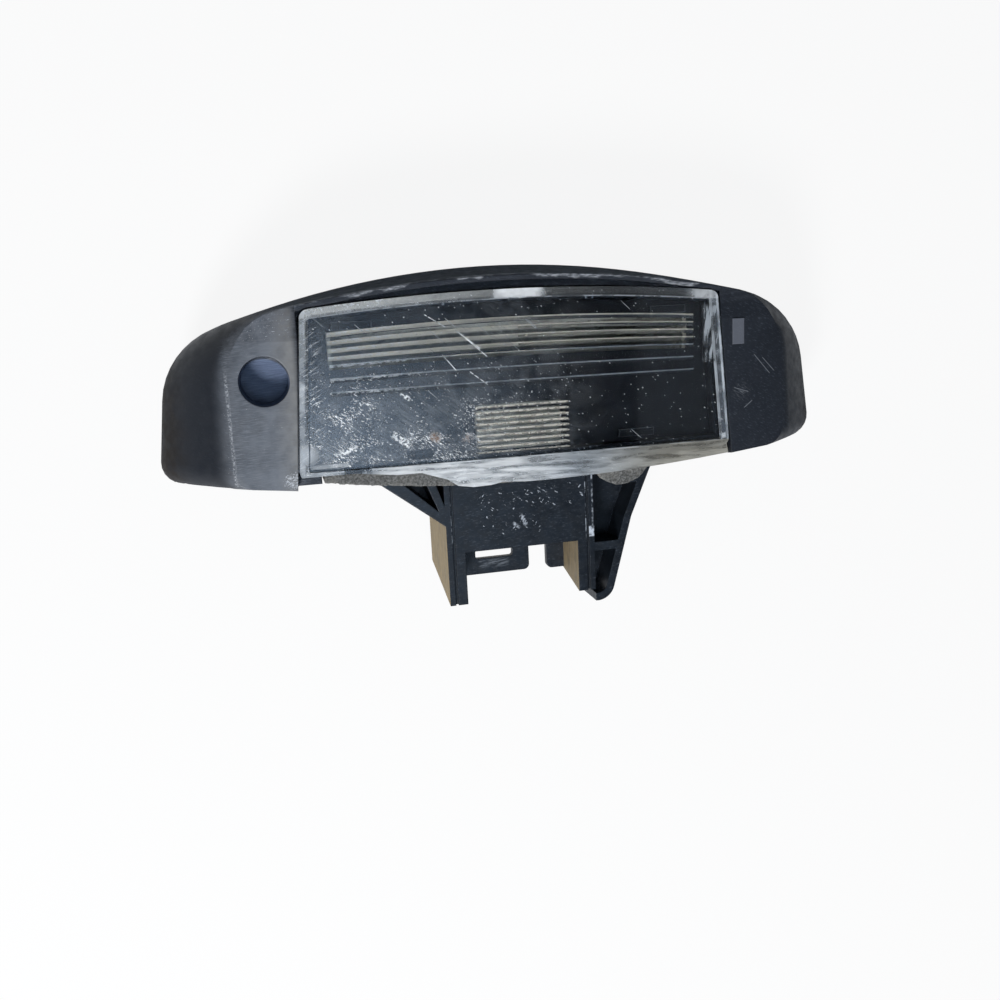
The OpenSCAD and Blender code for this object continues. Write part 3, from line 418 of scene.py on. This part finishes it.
def hood_dust_and_painted_light(f, colour, brushed, shaded_ends):
    """Colour with the painted sheen and dust of the cheek, the brushed and rubbed grain, painted brown shade
    at the far left and right, and the dusty band.
    """
    # Painted sheen, with some dust, on the left cheek
    reflection_tint = f.mix(f.rise(f.x, -47.0, -41.5), CHEEK_DUST_AND_SHEEN, WARM_DUST_AND_SHEEN)
    colour = f.mix(f.times(hood_dust_and_sheen(f), 0.88), colour, reflection_tint)
    cheek = f.times(f.rise(f.x, -38.0, -44.0), f.rise(f.x, CREASE_X - 1.5, CREASE_X + 0.5),
                    f.rise(f.facing_z, 0.5, 0.8))
    colour = f.mix(f.times(cheek, f.rise(brushed, 0.46, 0.68, 0.0, 0.7)), colour, BRUSHED)
    rubbed = f.times(f.rise(f.facing_z, 0.5, 0.9), f.rise(f.grain(-28.0, 1.0, 0.18), 0.54, 0.70, 0.05, 0.4),
                     f.rise(f.x, CREASE_X - 2.0, CREASE_X, 0.25, 1.0))
    colour = f.mix(rubbed, colour, RUBBED)
    # Painted shade at the far left and right, brown as a painted reflection of the table
    colour = f.mix(f.times(shaded_ends, f.rise(f.cloud(3.5), 0.35, 0.6, 0.4, 1.0)), colour, END_SHADE_BROWN)
    band = f.times(f.rise(f.y, 12.5, 15.0), f.rise(f.facing_z, 0.6, 0.95),
                   f.rise(f.grain(2.0, 6.0, 0.5), 0.4, 0.7, 0.06, 0.3))
    return f.mix(band, colour, BAND_DUST)


def hood_finish():
    f = Finish("hood_black_plastic")
    worn, line, chips = hood_wear(f)
    brushed = f.grain(3.0, 2.6, 0.13)
    # The far left and right of the hood, which take painted shade
    shaded_ends = f.rise(f.math("ABSOLUTE", f.x), HOOD_END, HOOD_END + 6.0)
    colour = hood_dust_and_painted_light(f, BLACK, brushed, shaded_ends)
    # Painted sheen on the upward-tilted bevel at the upper left
    colour = f.mix(worn, colour, BEVEL_SHEEN)
    colour = f.mix(line, colour, WORN_LINE)
    colour = f.mix(chips, colour, CHIP)
    # Painted reflection on the recess floor: blue-grey, lighter along the brushed grain
    floor = f.times(f.spot(*RECESS_AT, RECESS_RADIUS, 0.4), f.rise(f.z, FRONT - 0.3, FRONT - 0.8))
    colour = f.mix(floor, colour, f.mix(f.rise(brushed, 0.4, 0.7), RECESS_SHEEN_DARK, RECESS_SHEEN_LIGHT))
    pad = f.times(f.box(PAD_X, PAD_Y, 0.15), f.rise(f.z, FRONT, FRONT + 0.15), 0.6)
    colour = f.mix(pad, colour, PAD_GREY)
    rough = f.rise(f.cloud(1.8, detail=6.0), 0.3, 0.7, 0.36, 0.5)
    rough = f.add(rough, f.times(f.most(worn, line, chips, shaded_ends), 0.25))
    f.set(Base_Color=colour, Roughness=rough, Specular_IOR_Level=0.33)
    f.rounded(0.3)
    f.bump(brushed, 0.25, 0.04)
    f.bump(f.cloud(0.35, detail=3.0), 0.25, 0.03)
    f.bump(f.most(worn, line, chips), 0.5, 0.05)
    return f.mat


def lens_regions(f):
    """Shares of the top, the sides and the foot of the raised frame, and of the lower lip.

    Also how far a place lies outside the lens sides and its arched top."""
    arch = f.sub(f.y, f.sub(LENS_TOP, f.times(f.x, f.x, LENS_ARCH)))
    lean = f.add(LENS_HALF + LENS_LEAN * LENS_CORNER_Y, f.times(f.y, -LENS_LEAN))
    side = f.sub(f.math("ABSOLUTE", f.x), lean)
    top = f.rise(arch, -FRAME_W - FRAME_SOFT, -FRAME_W + FRAME_SOFT)
    sides = f.rise(side, -FRAME_W - FRAME_SOFT, -FRAME_W + FRAME_SOFT)
    foot = f.rise(f.y, LENS_FOOT + FRAME_W + FRAME_SOFT, LENS_FOOT + FRAME_W - FRAME_SOFT)
    lip = f.rise(f.y, LENS_FOOT + 0.1, LENS_FOOT - 0.2)
    return top, sides, foot, lip, side, arch


def lens_scratches(f, surface):
    """Chips and scratches of the window, dense at the lower left."""
    low_left = f.times(f.rise(f.x, 18.0, -22.0), f.rise(f.y, 12.0, -5.0))
    dense = f.times(low_left, f.rise(f.cloud(5.0, detail=3.0), 0.35, 0.65), 0.185)
    specks = f.dashes(-38.0, 0.6, 0.26, f.add(0.06, f.times(dense, 2.6)))
    specks = f.times(specks, f.rise(f.cloud(0.3, detail=4.0), 0.4, 0.55))
    small = f.most(f.flakes(-38.0, 0.5, 0.14, f.sub(0.74, dense)), specks)
    gouges = f.times(f.strokes(LENS_GOUGES), f.rise(f.cloud(0.55, detail=5.0), 0.42, 0.58))
    large = f.most(f.flakes(-24.0, 0.9, 0.3, f.sub(0.80, f.times(low_left, 0.13))), gouges)
    long = f.dashes(-43.0, 6.0, 0.22, f.add(0.02, f.times(f.spot(-6.0, 10.0, 4.0, 12.0), 0.10)))
    fringe = f.times(f.rise(f.grain(28.0, 2.4, 0.25), 0.5, 0.68), f.rise(f.x, -35.0, -39.0))
    broken = f.rise(f.cloud(0.7, detail=4.0), 0.35, 0.55, 0.2, 0.85)
    strokes = f.times(f.strokes(LENS_STROKES), broken)
    return f.times(surface, f.most(small, large, f.times(long, 0.4), strokes, f.times(fringe, 0.55)))


def lens_glint_lines(f, side, arch):
    """Painted highlights: thin white lines along the frame, and painted glints on the edges of the ribs."""
    broken = f.rise(f.cloud(5.0, detail=6.0), 0.35, 0.6, 0.3, 1.0)
    right = f.most(f.near(side, -0.45, 0.12, 0.2), f.times(f.near(side, -1.75, 0.1, 0.15), 0.7))
    right = f.times(right, f.rise(f.x, 10.0, 30.0))
    left = f.times(f.near(side, -0.6, 0.3, 0.4), f.rise(f.x, -10.0, -30.0), 0.7)
    top = f.times(f.near(arch, -1.65, 0.06, 0.12), 0.4)
    foot = f.times(f.near(f.y, LENS_FOOT + 1.5, 0.08, 0.15), 0.7)
    front = f.rise(f.z, FRONT - 0.9, FRONT - 0.45)
    # Painted glints on the edges of the ribs
    rib_tip_glints = f.times(f.rise(f.z, FRONT - 2.3, FRONT - 2.5), 0.75)
    return f.most(f.times(f.most(right, left, top, foot), broken, front), rib_tip_glints)


def lens_haze_and_sheen(f, surface, port):
    """Haze and painted sheen on the big window, densest at the lower left and thin over the port."""
    left = f.rise(f.x, 20.0, -36.0)
    low = f.rise(f.y, 8.0, -12.0)
    # A painted sheen over the middle of the window
    middle = f.times(f.spot(0.0, 3.0, 3.0, 20.0), 0.045)
    # Hazy marks with painted sheen, most at the lower left
    haze_and_sheen = f.add(f.add(f.times(left, 0.035), f.times(left, low, 0.3)), middle)
    hatch = f.rise(f.grain(-36.0, 3.0, 0.3), 0.35, 0.65, 0.25, 1.25)
    blotch = f.rise(f.cloud(4.0, detail=6.0, rough=0.6), 0.4, 0.62, 0.08, 1.0)
    return f.times(surface, blotch, hatch, haze_and_sheen, f.rise(port, 0.0, 1.0, 1.0, 0.3))


def lens_frost(f, top, sides, foot, patch, streaks, white):
    """White wear on the raised frame, at its left corner and beside its right side."""
    top_cloud = f.rise(f.cloud(1.1, detail=6.0, rough=0.7), 0.3, 0.65, 0.45, 1.0)
    side_cloud = f.rise(f.cloud(2.5, detail=5.0), 0.4, 0.7, 0.04, 0.35)
    right_cloud = f.rise(f.cloud(1.0, detail=5.0, at=f.turned(83.0, 5.0, 0.7)), 0.45, 0.65, 0.0, 0.7)
    frost = f.most(f.times(top, f.add(0.05, f.times(patch, 0.75)), top_cloud),
                   f.times(sides, side_cloud),
                   f.times(foot, f.rise(streaks, 0.3, 0.7, 0.2, 0.6)),
                   f.times(foot, white, 0.6),
                   f.times(f.spot(-40.6, -10.0, 0.6, 2.6), 0.7),
                   f.times(f.box((-40.5, -33.5), (-13.6, -12.4), 0.7), f.rise(streaks, 0.35, 0.6, 0.1, 0.6)),
                   f.times(f.box((37.6, 39.6), (2.5, 12.5), 0.8), right_cloud))
    return f.times(frost, f.rise(f.z, FRONT - 2.0, FRONT - 0.6, 0.25, 1.0))


def lens_rib_light(f, port):
    """Painted light: the cream of the lit reflector between the ribs of the band, brightest at the left,
    glints at its left end, and light and dark stripes on the port.
    """
    # Painted light between the ribs: the cream of the lit reflector, with painted sheen towards the left
    grime = f.times(f.rise(f.z, FRONT - 1.93, FRONT - 2.07), f.rise(f.x, 20.0, -35.0, 0.04, 0.9),
                    f.rise(f.y, 6.0, 7.0))
    glints = f.times(f.rise(f.z, FRONT - 2.1, FRONT - 2.3), f.rise(f.x, -14.0, -28.0),
                     f.rise(f.grain(2.0, 0.9, 0.3), 0.45, 0.56))
    # Painted light and shade in stripes across the port's ribs
    lit_bars = f.rise(f.math("FRACT", f.times(f.sub(f.y, PORT_TOP), 1 / PORT_PITCH)), 0.5, 0.85, 0.0, 0.4)
    lit_bars = f.times(port, lit_bars, f.rise(f.cloud(1.2, detail=4.0), 0.3, 0.6, 0.4, 1.0))
    return grime, glints, lit_bars


def lens_finish():
    f = Finish("lens_clear_worn")
    top, sides, foot, lip, side, arch = lens_regions(f)
    surface = f.times(f.rise(f.z, FRONT - 1.25, FRONT - 0.9), f.rise(f.facing_z, 0.2, 0.6))
    marks = lens_scratches(f, surface)
    port = f.box(PORT_X, PORT_Y, 0.3)
    streaks = f.cloud(1.0, detail=5.0, rough=0.6, at=f.turned(-2.0, 7.0, 0.9))
    patch = f.most(f.spot(0.0, 16.6, 3.5, 2.5), f.times(f.spot(37.0, 14.5, 1.0, 4.0), 0.7),
                   f.times(f.rise(f.x, 20.0, -36.0), 0.4))
    white = f.times(f.rise(f.x, -30.0, -26.0), f.rise(f.x, 12.0, -2.0), f.rise(streaks, 0.35, 0.6, 0.4, 1.0))
    frost = lens_frost(f, top, sides, foot, patch, streaks, white)
    cloudy = f.times(lip, f.most(f.rise(streaks, 0.36, 0.64, 0.14, 0.68), f.times(white, 0.4)))
    # grime here is the painted light between the ribs; the port's stripes are painted light and shade
    grime, glints, lit_bars = lens_rib_light(f, port)
    share = f.most(marks, lens_haze_and_sheen(f, surface, port), frost, cloudy, grime, glints, lit_bars,
                   lens_glint_lines(f, side, arch))
    rust = f.most(f.spot(-17.0, -8.7, 0.5, 1.3), f.times(f.spot(-10.8, -9.5, 0.3, 1.6), 0.8))
    rust = f.times(surface, rust, f.rise(f.cloud(0.9, detail=5.0), 0.4, 0.6))
    tan = f.times(f.most(lip, foot), f.rise(f.x, 8.0, 30.0))
    pale = f.mix(f.most(marks, f.times(patch, top), f.times(white, foot)), HAZE_AND_SHEEN, WHITE_WEAR)
    pale = f.mix(f.times(tan, 0.8), pale, TAN_DUST)
    # Painted light between the ribs and on the port's stripes
    pale = f.mix(f.most(f.rise(grime, 0.0, 0.04), f.rise(lit_bars, 0.0, 0.1)), pale, RIB_LIGHT_CREAM)
    pale = f.mix(glints, pale, GLINT)
    pale = f.mix(rust, pale, RUST)
    colour = f.mix(f.rise(share, 0.0, 0.12), CLEAR, pale)
    dark = f.most(f.box((-34.0, -29.5), (-14.0, -13.1), 0.5), f.box((-22.3, -17.8), (-12.3, -10.9), 0.5))
    dark = f.times(dark, f.rise(f.cloud(1.2, detail=5.0), 0.35, 0.5))
    share = f.times(f.most(share, f.times(rust, 0.6)), f.rise(dark, 0.0, 1.0, 1.0, 0.12))
    f.set(Base_Color=colour, Transmission_Weight=f.sub(1.0, share),
          Roughness=f.rise(share, 0.0, 0.6, 0.05, 0.5), IOR=1.49)
    f.bump(f.times(f.cloud(1.8, detail=5.0, rough=0.65), f.rise(f.x, 15.0, -25.0)), 0.4, 0.08)
    f.bump(marks, 0.3, 0.04)
    return f.mat


def base_marks(f):
    """Pale flecks and painted highlight lines on the front of the socket, and the scuff on the bar of its
    latch window.
    """
    rows = f.most(f.box((-9.0, 14.0), (-24.6, -20.6), 0.6), f.box((-8.0, 4.0), (-29.6, -25.6), 0.8))
    strokes = f.times(f.strokes(SOCKET_STROKES), f.rise(f.grain(60.0, 0.9, 0.3), 0.42, 0.55))
    flecks = f.most(f.flakes(50.0, 1.5, 0.5, f.sub(0.79, f.times(rows, 0.12))),
                    f.flakes(-35.0, 1.1, 0.4, f.sub(0.79, f.times(rows, 0.13))),
                    f.flakes(20.0, 0.4, 0.2, f.sub(0.77, f.times(rows, 0.05))), strokes)
    # Painted highlight lines at the grooves and rounded edges near the sides of the front
    lines = f.most(f.near(f.x, -13.9, 0.1, 0.22), f.near(f.x, 13.6, 0.1, 0.22), f.near(f.x, 14.9, 0.05, 0.2))
    lines = f.times(lines, f.rise(f.cloud(1.1, detail=4.0), 0.45, 0.62), f.rise(f.y, -33.0, -30.0))
    blob = f.times(f.box((14.2, 15.0), (-31.8, -30.0), 0.3), f.rise(f.cloud(0.6, detail=4.0), 0.35, 0.5))
    front = f.times(f.rise(f.z, 22.0, 22.3), f.rise(f.facing_z, 0.4, 0.8))
    worn = f.times(f.most(f.times(flecks, 0.7), f.times(lines, 0.7), blob), front)
    scuff = f.times(f.box((-6.5, -1.0), (-38.4, -37.8), 0.9), f.rise(f.grain(4.0, 3.0, 0.35), 0.42, 0.62),
                    f.rise(f.z, 12.5, 12.3))
    return worn, scuff


def base_table_reflection(f):
    """Painted reflection of the tan table on left-facing faces: the outer face of the left leg and the inner
    face of the right one.
    """
    outer = f.times(f.near(f.x, -LEG_OUT, 0.2, 0.2), f.rise(f.y, -26.0, -28.0))
    inner = f.times(f.near(f.x, LEG_IN, 0.2, 0.2), f.rise(f.y, -30.0, -34.0), 0.7)
    streaks = f.rise(f.grain(90.0, 5.0, 0.8), 0.3, 0.6, 0.55, 1.0)
    return f.times(f.rise(f.facing_x, -0.5, -0.9), f.most(outer, inner), streaks)


def base_finish():
    f = Finish("base_black_plastic")
    worn, scuff = base_marks(f)
    reflection_tint = base_table_reflection(f)
    colour = f.mix(f.rise(f.cloud(3.0, detail=5.0), 0.35, 0.7), BASE_BLACK, BASE_BLUE)
    rubbed = f.times(f.rise(f.facing_z, 0.6, 0.9), f.rise(f.grain(5.0, 0.9, 0.16), 0.55, 0.72))
    colour = f.mix(f.times(rubbed, 0.3), colour, BASE_RUBBED)
    # Painted reflection of the table, tan, on the legs' left-facing faces
    colour = f.mix(f.times(reflection_tint, 0.85), colour, LEG_TABLE_REFLECTION)
    # Pale flecks and the scuff, with the painted highlight lines
    colour = f.mix(f.most(worn, f.times(scuff, 0.2)), colour, BASE_WEAR_AND_HIGHLIGHT)
    rough = f.add(f.rise(f.cloud(1.2, detail=5.0), 0.3, 0.7, 0.28, 0.42), f.times(reflection_tint, 0.4))
    f.set(Base_Color=colour, Roughness=rough, Specular_IOR_Level=0.45)
    f.rounded(0.25)
    f.bump(f.cloud(0.5, detail=4.0), 0.3, 0.03)
    f.bump(worn, 0.5, 0.06)
    return f.mat


def shield_finish():
    f = Finish("shield_matt_black")
    # Painted highlights along the sharp edges of the lugs
    edges = f.times(f.rise(f.z, 23.9, 24.1), f.edges(0.25), 0.8)
    colour = f.mix(f.rise(f.cloud(4.0, detail=5.0), 0.3, 0.7), SHIELD_BLACK, SHIELD_GREY)
    colour = f.mix(edges, colour, SHIELD_EDGE_HIGHLIGHT)
    f.set(Base_Color=colour, Roughness=0.45, Specular_IOR_Level=0.4)
    f.rounded(0.15)
    f.bump(f.cloud(0.6, detail=3.0), 0.1, 0.01)
    return f.mat


def reflector_finish():
    f = Finish("reflector_cream")
    # Darker in cloudy patches and towards the right
    darkening = f.most(f.rise(f.cloud(6.0, detail=5.0), 0.35, 0.7), f.rise(f.x, -5.0, 35.0))
    colour = f.mix(darkening, CREAM, CREAM_DARK)
    colour = f.mix(f.rise(f.cloud(0.8, detail=4.0), 0.6, 0.75, 0.0, 0.4), colour, CREAM_SPOT)
    f.set(Base_Color=colour, Roughness=f.rise(f.cloud(2.0), 0.3, 0.7, 0.22, 0.4), Specular_IOR_Level=0.5)
    f.bump(f.cloud(1.5, detail=3.0), 0.2, 0.05)
    return f.mat


def foam_finish():
    f = Finish("foam_grey")
    crumbs = f.cloud(0.45, detail=5.0, rough=0.7)
    colour = f.mix(f.rise(crumbs, 0.35, 0.7), FOAM_DARK, FOAM_LIGHT)
    colour = f.mix(f.rise(f.cloud(5.0), 0.4, 0.7, 0.0, 0.4), colour, FOAM_TAN)
    f.set(Base_Color=colour, Roughness=0.95, Specular_IOR_Level=0.1)
    f.bump(crumbs, 0.9, 0.25)
    return f.mat


def brass_finish():
    f = Finish("contact_brass")
    colour = f.mix(f.rise(f.cloud(1.5, detail=5.0), 0.35, 0.7), BRASS, BRASS_DULL)
    f.set(Base_Color=colour, Metallic=1.0, Roughness=f.rise(f.cloud(0.8), 0.3, 0.7, 0.22, 0.45))
    f.bump(f.grain(90.0, 2.0, 0.1), 0.2, 0.02)
    return f.mat


def bulb_glass_finish():
    f = Finish("bulb_clear_glass")
    grime = f.rise(f.cloud(2.0, detail=5.0), 0.45, 0.75, 0.0, 0.12)
    f.set(Base_Color=BULB_CLEAR, Transmission_Weight=f.sub(1.0, grime), IOR=1.5,
          Roughness=f.rise(grime, 0.0, 0.12, 0.01, 0.2))
    f.bump(f.cloud(3.0), 0.1, 0.05)
    return f.mat


def wire_finish():
    f = Finish("bulb_wire_steel")
    colour = f.mix(f.rise(f.cloud(0.5, detail=4.0), 0.3, 0.7), STEEL, STEEL_DARK)
    f.set(Base_Color=colour, Metallic=1.0, Roughness=0.35)
    f.bump(f.cloud(0.2), 0.2, 0.01)
    return f.mat


def dress(obj, material):
    obj.data.materials.clear()
    obj.data.materials.append(material)


def dress_frame():
    """Gives every node of the frame its finish."""
    brass, glass, wire = brass_finish(), bulb_glass_finish(), wire_finish()
    finishes = {"hood": hood_finish(), "lens": lens_finish(), "light_shield": shield_finish(),
                "reflector": reflector_finish(), "lamp_base": base_finish(), "foam_gasket": foam_finish(),
                "feed_contact": brass, "earth_contact": brass}
    for side in ("left", "right"):
        finishes[side + "_bulb_glass"] = glass
        finishes[side + "_bulb_wires"] = wire
        finishes[side + "_bulb_filament"] = wire
    for name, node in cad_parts.items():
        dress(node, finishes[name])


def add_piece(name, bm, material, slot, *nodes):
    """Makes a piece of the lamp that stands for CAD nodes."""
    mesh = bpy.data.meshes.new(name)
    bm.to_mesh(mesh)
    bm.free()
    piece = bpy.data.objects.new(name, mesh)
    bpy.context.collection.objects.link(piece)
    mesh.materials.append(material)
    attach(piece, BODY)
    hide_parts(*nodes)
    return piece


def welded(node):
    """Mesh of a CAD node with its split corners joined."""
    bm = bmesh.new()
    bm.from_mesh(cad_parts[node].data)
    bmesh.ops.remove_doubles(bm, verts=bm.verts, dist=WELD * MM)
    return bm


def mark_sharp(mesh):
    """Keeps the steps sharp, and the slight bevels on the flat front too."""
    bm = bmesh.new()
    bm.from_mesh(mesh)
    for edge in bm.edges:
        if len(edge.link_faces) == 2:
            a, b = (face.normal for face in edge.link_faces)
            limit = FLAT_SHARP if min(a.z, b.z) > FLAT_FACING else CURVE_SHARP
            edge.smooth = a.angle(b, 0.0) < limit
    bm.to_mesh(mesh)
    bm.free()


def make_hood():
    """The moulded hood with a smooth skin over its curved walls."""
    bm = welded("hood")
    for face in bm.faces:
        face.smooth = True
    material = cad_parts["hood"].data.materials[0]
    piece = add_piece("hood_moulding", bm, material, "hood_plastic", "hood")
    mark_sharp(piece.data)
    even = piece.modifiers.new("even_shading", "WEIGHTED_NORMAL")
    even.mode = "FACE_AREA"
    even.weight = 100
    even.keep_sharp = True


def make_foam():
    """The foam as a crumbly body: remeshed fine, drawn in a little and roughened."""
    bm = welded("foam_gasket")
    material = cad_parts["foam_gasket"].data.materials[0]
    piece = add_piece("foam_body", bm, material, "foam", "foam_gasket")
    remesh = piece.modifiers.new("grain", "REMESH")
    remesh.mode = "VOXEL"
    remesh.voxel_size = FOAM_GRAIN * MM
    graph = bpy.context.evaluated_depsgraph_get()
    fine = bpy.data.meshes.new_from_object(piece.evaluated_get(graph))
    piece.modifiers.clear()
    piece.data = fine
    for v in fine.vertices:
        spot = v.co / MM
        grit = noise.fractal(spot * 0.9, 0.7, 2.1, 4)
        crumb = noise.noise(spot * 2.6)
        v.co -= v.normal * (FOAM_DRAW + FOAM_GRIT * grit + FOAM_CRUMB * crumb) * MM
    for face in fine.polygons:
        face.use_smooth = True


def coil(length, radius, turns, wire, steps=14, sides=6):
    """A coiled wire along Z, centred on the origin."""
    bm = bmesh.new()
    rings = []
    count = turns * steps
    for i in range(count + 1):
        t = 2 * math.pi * i / steps
        centre = Vector((radius * math.cos(t), radius * math.sin(t), length * (i / count - 0.5)))
        outward = Vector((math.cos(t), math.sin(t), 0))
        rings.append([bm.verts.new(centre + wire * (outward * math.cos(a) + Vector((0, 0, 1)) * math.sin(a)))
                      for a in (2 * math.pi * k / sides for k in range(sides))])
    for low, high in zip(rings, rings[1:]):
        for k in range(sides):
            bm.faces.new((low[k], low[(k + 1) % sides], high[(k + 1) % sides], high[k])).smooth = True
    bm.faces.new(reversed(rings[0]))
    bm.faces.new(rings[-1])
    return bm


def make_filaments():
    """A coil in place of each bulb's filament."""
    for side in ("left", "right"):
        node = side + "_bulb_filament"
        low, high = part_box(node)
        width = high.x - low.x
        wire = width * WIRE_SHARE
        bm = coil(high.z - low.z - 2 * wire, width * COIL_SHARE, COIL_TURNS, wire)
        bmesh.ops.translate(bm, verts=bm.verts, vec=(low + high) / 2)
        add_piece(side + "_filament_coil", bm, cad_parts[node].data.materials[0], "bulb_wire", node)


def product(tree, a, b):
    """Output of a node tree that is the product of an output and another output or number."""
    node = tree.nodes.new("ShaderNodeMath")
    node.operation = "MULTIPLY"
    tree.links.new(a, node.inputs[0])
    if isinstance(b, float):
        node.inputs[1].default_value = b
    else:
        tree.links.new(b, node.inputs[1])
    return node.outputs[0]


def glow_for_camera(tree, surface, kind, output, share):
    """Shows camera rays a white glow over a surface, by a share that is a number or an output."""
    glow = tree.nodes.new(kind)
    glow.inputs["Strength"].default_value = 1.0
    glow.inputs["Color"].default_value = (1, 1, 1, 1)
    path = tree.nodes.new("ShaderNodeLightPath")
    both = tree.nodes.new("ShaderNodeMixShader")
    tree.links.new(product(tree, path.outputs["Is Camera Ray"], share), both.inputs[0])
    tree.links.new(surface, both.inputs[1])
    tree.links.new(glow.outputs[0], both.inputs[2])
    tree.links.new(both.outputs[0], tree.nodes[output].inputs["Surface"])


def add_floor():
    """A pale floor that keeps the shadow and fades to white away from the lamp."""
    bpy.ops.mesh.primitive_plane_add(size=FLOOR_SIZE, location=(0, 0, CAD_BOX[0].z - FLOOR_GAP))
    floor = bpy.context.object
    floor.name = "floor"
    mat = bpy.data.materials.new("floor_pale")
    mat.use_nodes = True
    tree = mat.node_tree
    base = tree.nodes["Principled BSDF"]
    base.inputs["Base Color"].default_value = FLOOR_GREY
    base.inputs["Roughness"].default_value = 0.9
    base.inputs["Specular IOR Level"].default_value = 0.1
    where = tree.nodes.new("ShaderNodeTexCoord")
    away = tree.nodes.new("ShaderNodeVectorMath")
    away.operation = "LENGTH"
    tree.links.new(where.outputs["Object"], away.inputs[0])
    share = tree.nodes.new("ShaderNodeMapRange")
    share.inputs["From Min"].default_value = GLOW_START
    share.inputs["From Max"].default_value = GLOW_END
    share.inputs["To Min"].default_value = GLOW_SHARE
    tree.links.new(away.outputs["Value"], share.inputs["Value"])
    glow_for_camera(tree, base.outputs[0], "ShaderNodeEmission", "Material Output", share.outputs["Result"])
    floor.data.materials.append(mat)


def panel_level(tree):
    """Brightness over the panel: a level that fades out towards its sides."""
    where = tree.nodes.new("ShaderNodeTexCoord")
    apart = tree.nodes.new("ShaderNodeSeparateXYZ")
    tree.links.new(where.outputs["Object"], apart.inputs[0])
    level = PANEL_LEVEL
    for axis, dark, bright in PANEL_FADES:
        fade = tree.nodes.new("ShaderNodeMapRange")
        fade.interpolation_type = "SMOOTHSTEP"
        fade.inputs["From Min"].default_value = dark
        fade.inputs["From Max"].default_value = bright
        tree.links.new(apart.outputs[axis], fade.inputs["Value"])
        level = product(tree, fade.outputs["Result"], level)
    return level


def add_panel():
    """A dim soft panel over the lamp's left half, for the sheen on the cheek and the lens."""
    bpy.ops.mesh.primitive_plane_add(size=1.0, location=PANEL_AT)
    panel = bpy.context.object
    panel.name = "sheen_panel"
    panel.scale = PANEL_SCALE
    panel.visible_camera = False
    mat = bpy.data.materials.new("sheen_glow")
    mat.use_nodes = True
    tree = mat.node_tree
    tree.nodes.remove(tree.nodes["Principled BSDF"])
    glow = tree.nodes.new("ShaderNodeEmission")
    glow.inputs["Color"].default_value = PANEL_COLOUR
    tree.links.new(panel_level(tree), glow.inputs["Strength"])
    tree.links.new(glow.outputs[0], tree.nodes["Material Output"].inputs["Surface"])
    panel.data.materials.append(mat)


def add_world():
    world = bpy.data.worlds.new("studio")
    bpy.context.scene.world = world
    world.use_nodes = True
    back = world.node_tree.nodes["Background"]
    back.inputs["Color"].default_value = WORLD_COLOUR
    back.inputs["Strength"].default_value = WORLD_LEVEL
    glow_for_camera(world.node_tree, back.outputs[0], "ShaderNodeBackground", "World Output", 1.0)


def add_key_lamp():
    light = bpy.data.lights.new("key_lamp", "AREA")
    light.size = KEY_SIZE
    light.energy = KEY_POWER
    lamp = bpy.data.objects.new("key_lamp", light)
    bpy.context.collection.objects.link(lamp)
    lamp.location = KEY_AT
    lamp.rotation_euler = (Vector(KEY_AIM) - Vector(KEY_AT)).to_track_quat("-Z", "Y").to_euler()


def add_camera():
    cam = bpy.data.cameras.new("camera")
    cam.lens = CAMERA_LENS
    cam.sensor_width = CAMERA_SENSOR
    cam.clip_start = 0.01
    obj = bpy.data.objects.new("camera", cam)
    bpy.context.collection.objects.link(obj)
    obj.location = CAMERA_AT
    obj.rotation_euler = CAMERA_TURN
    bpy.context.scene.camera = obj


dress_frame()
make_hood()
make_foam()
make_filaments()
add_floor()
add_panel()
add_world()
add_key_lamp()
add_camera()
bpy.context.scene.view_settings.view_transform = "Standard"
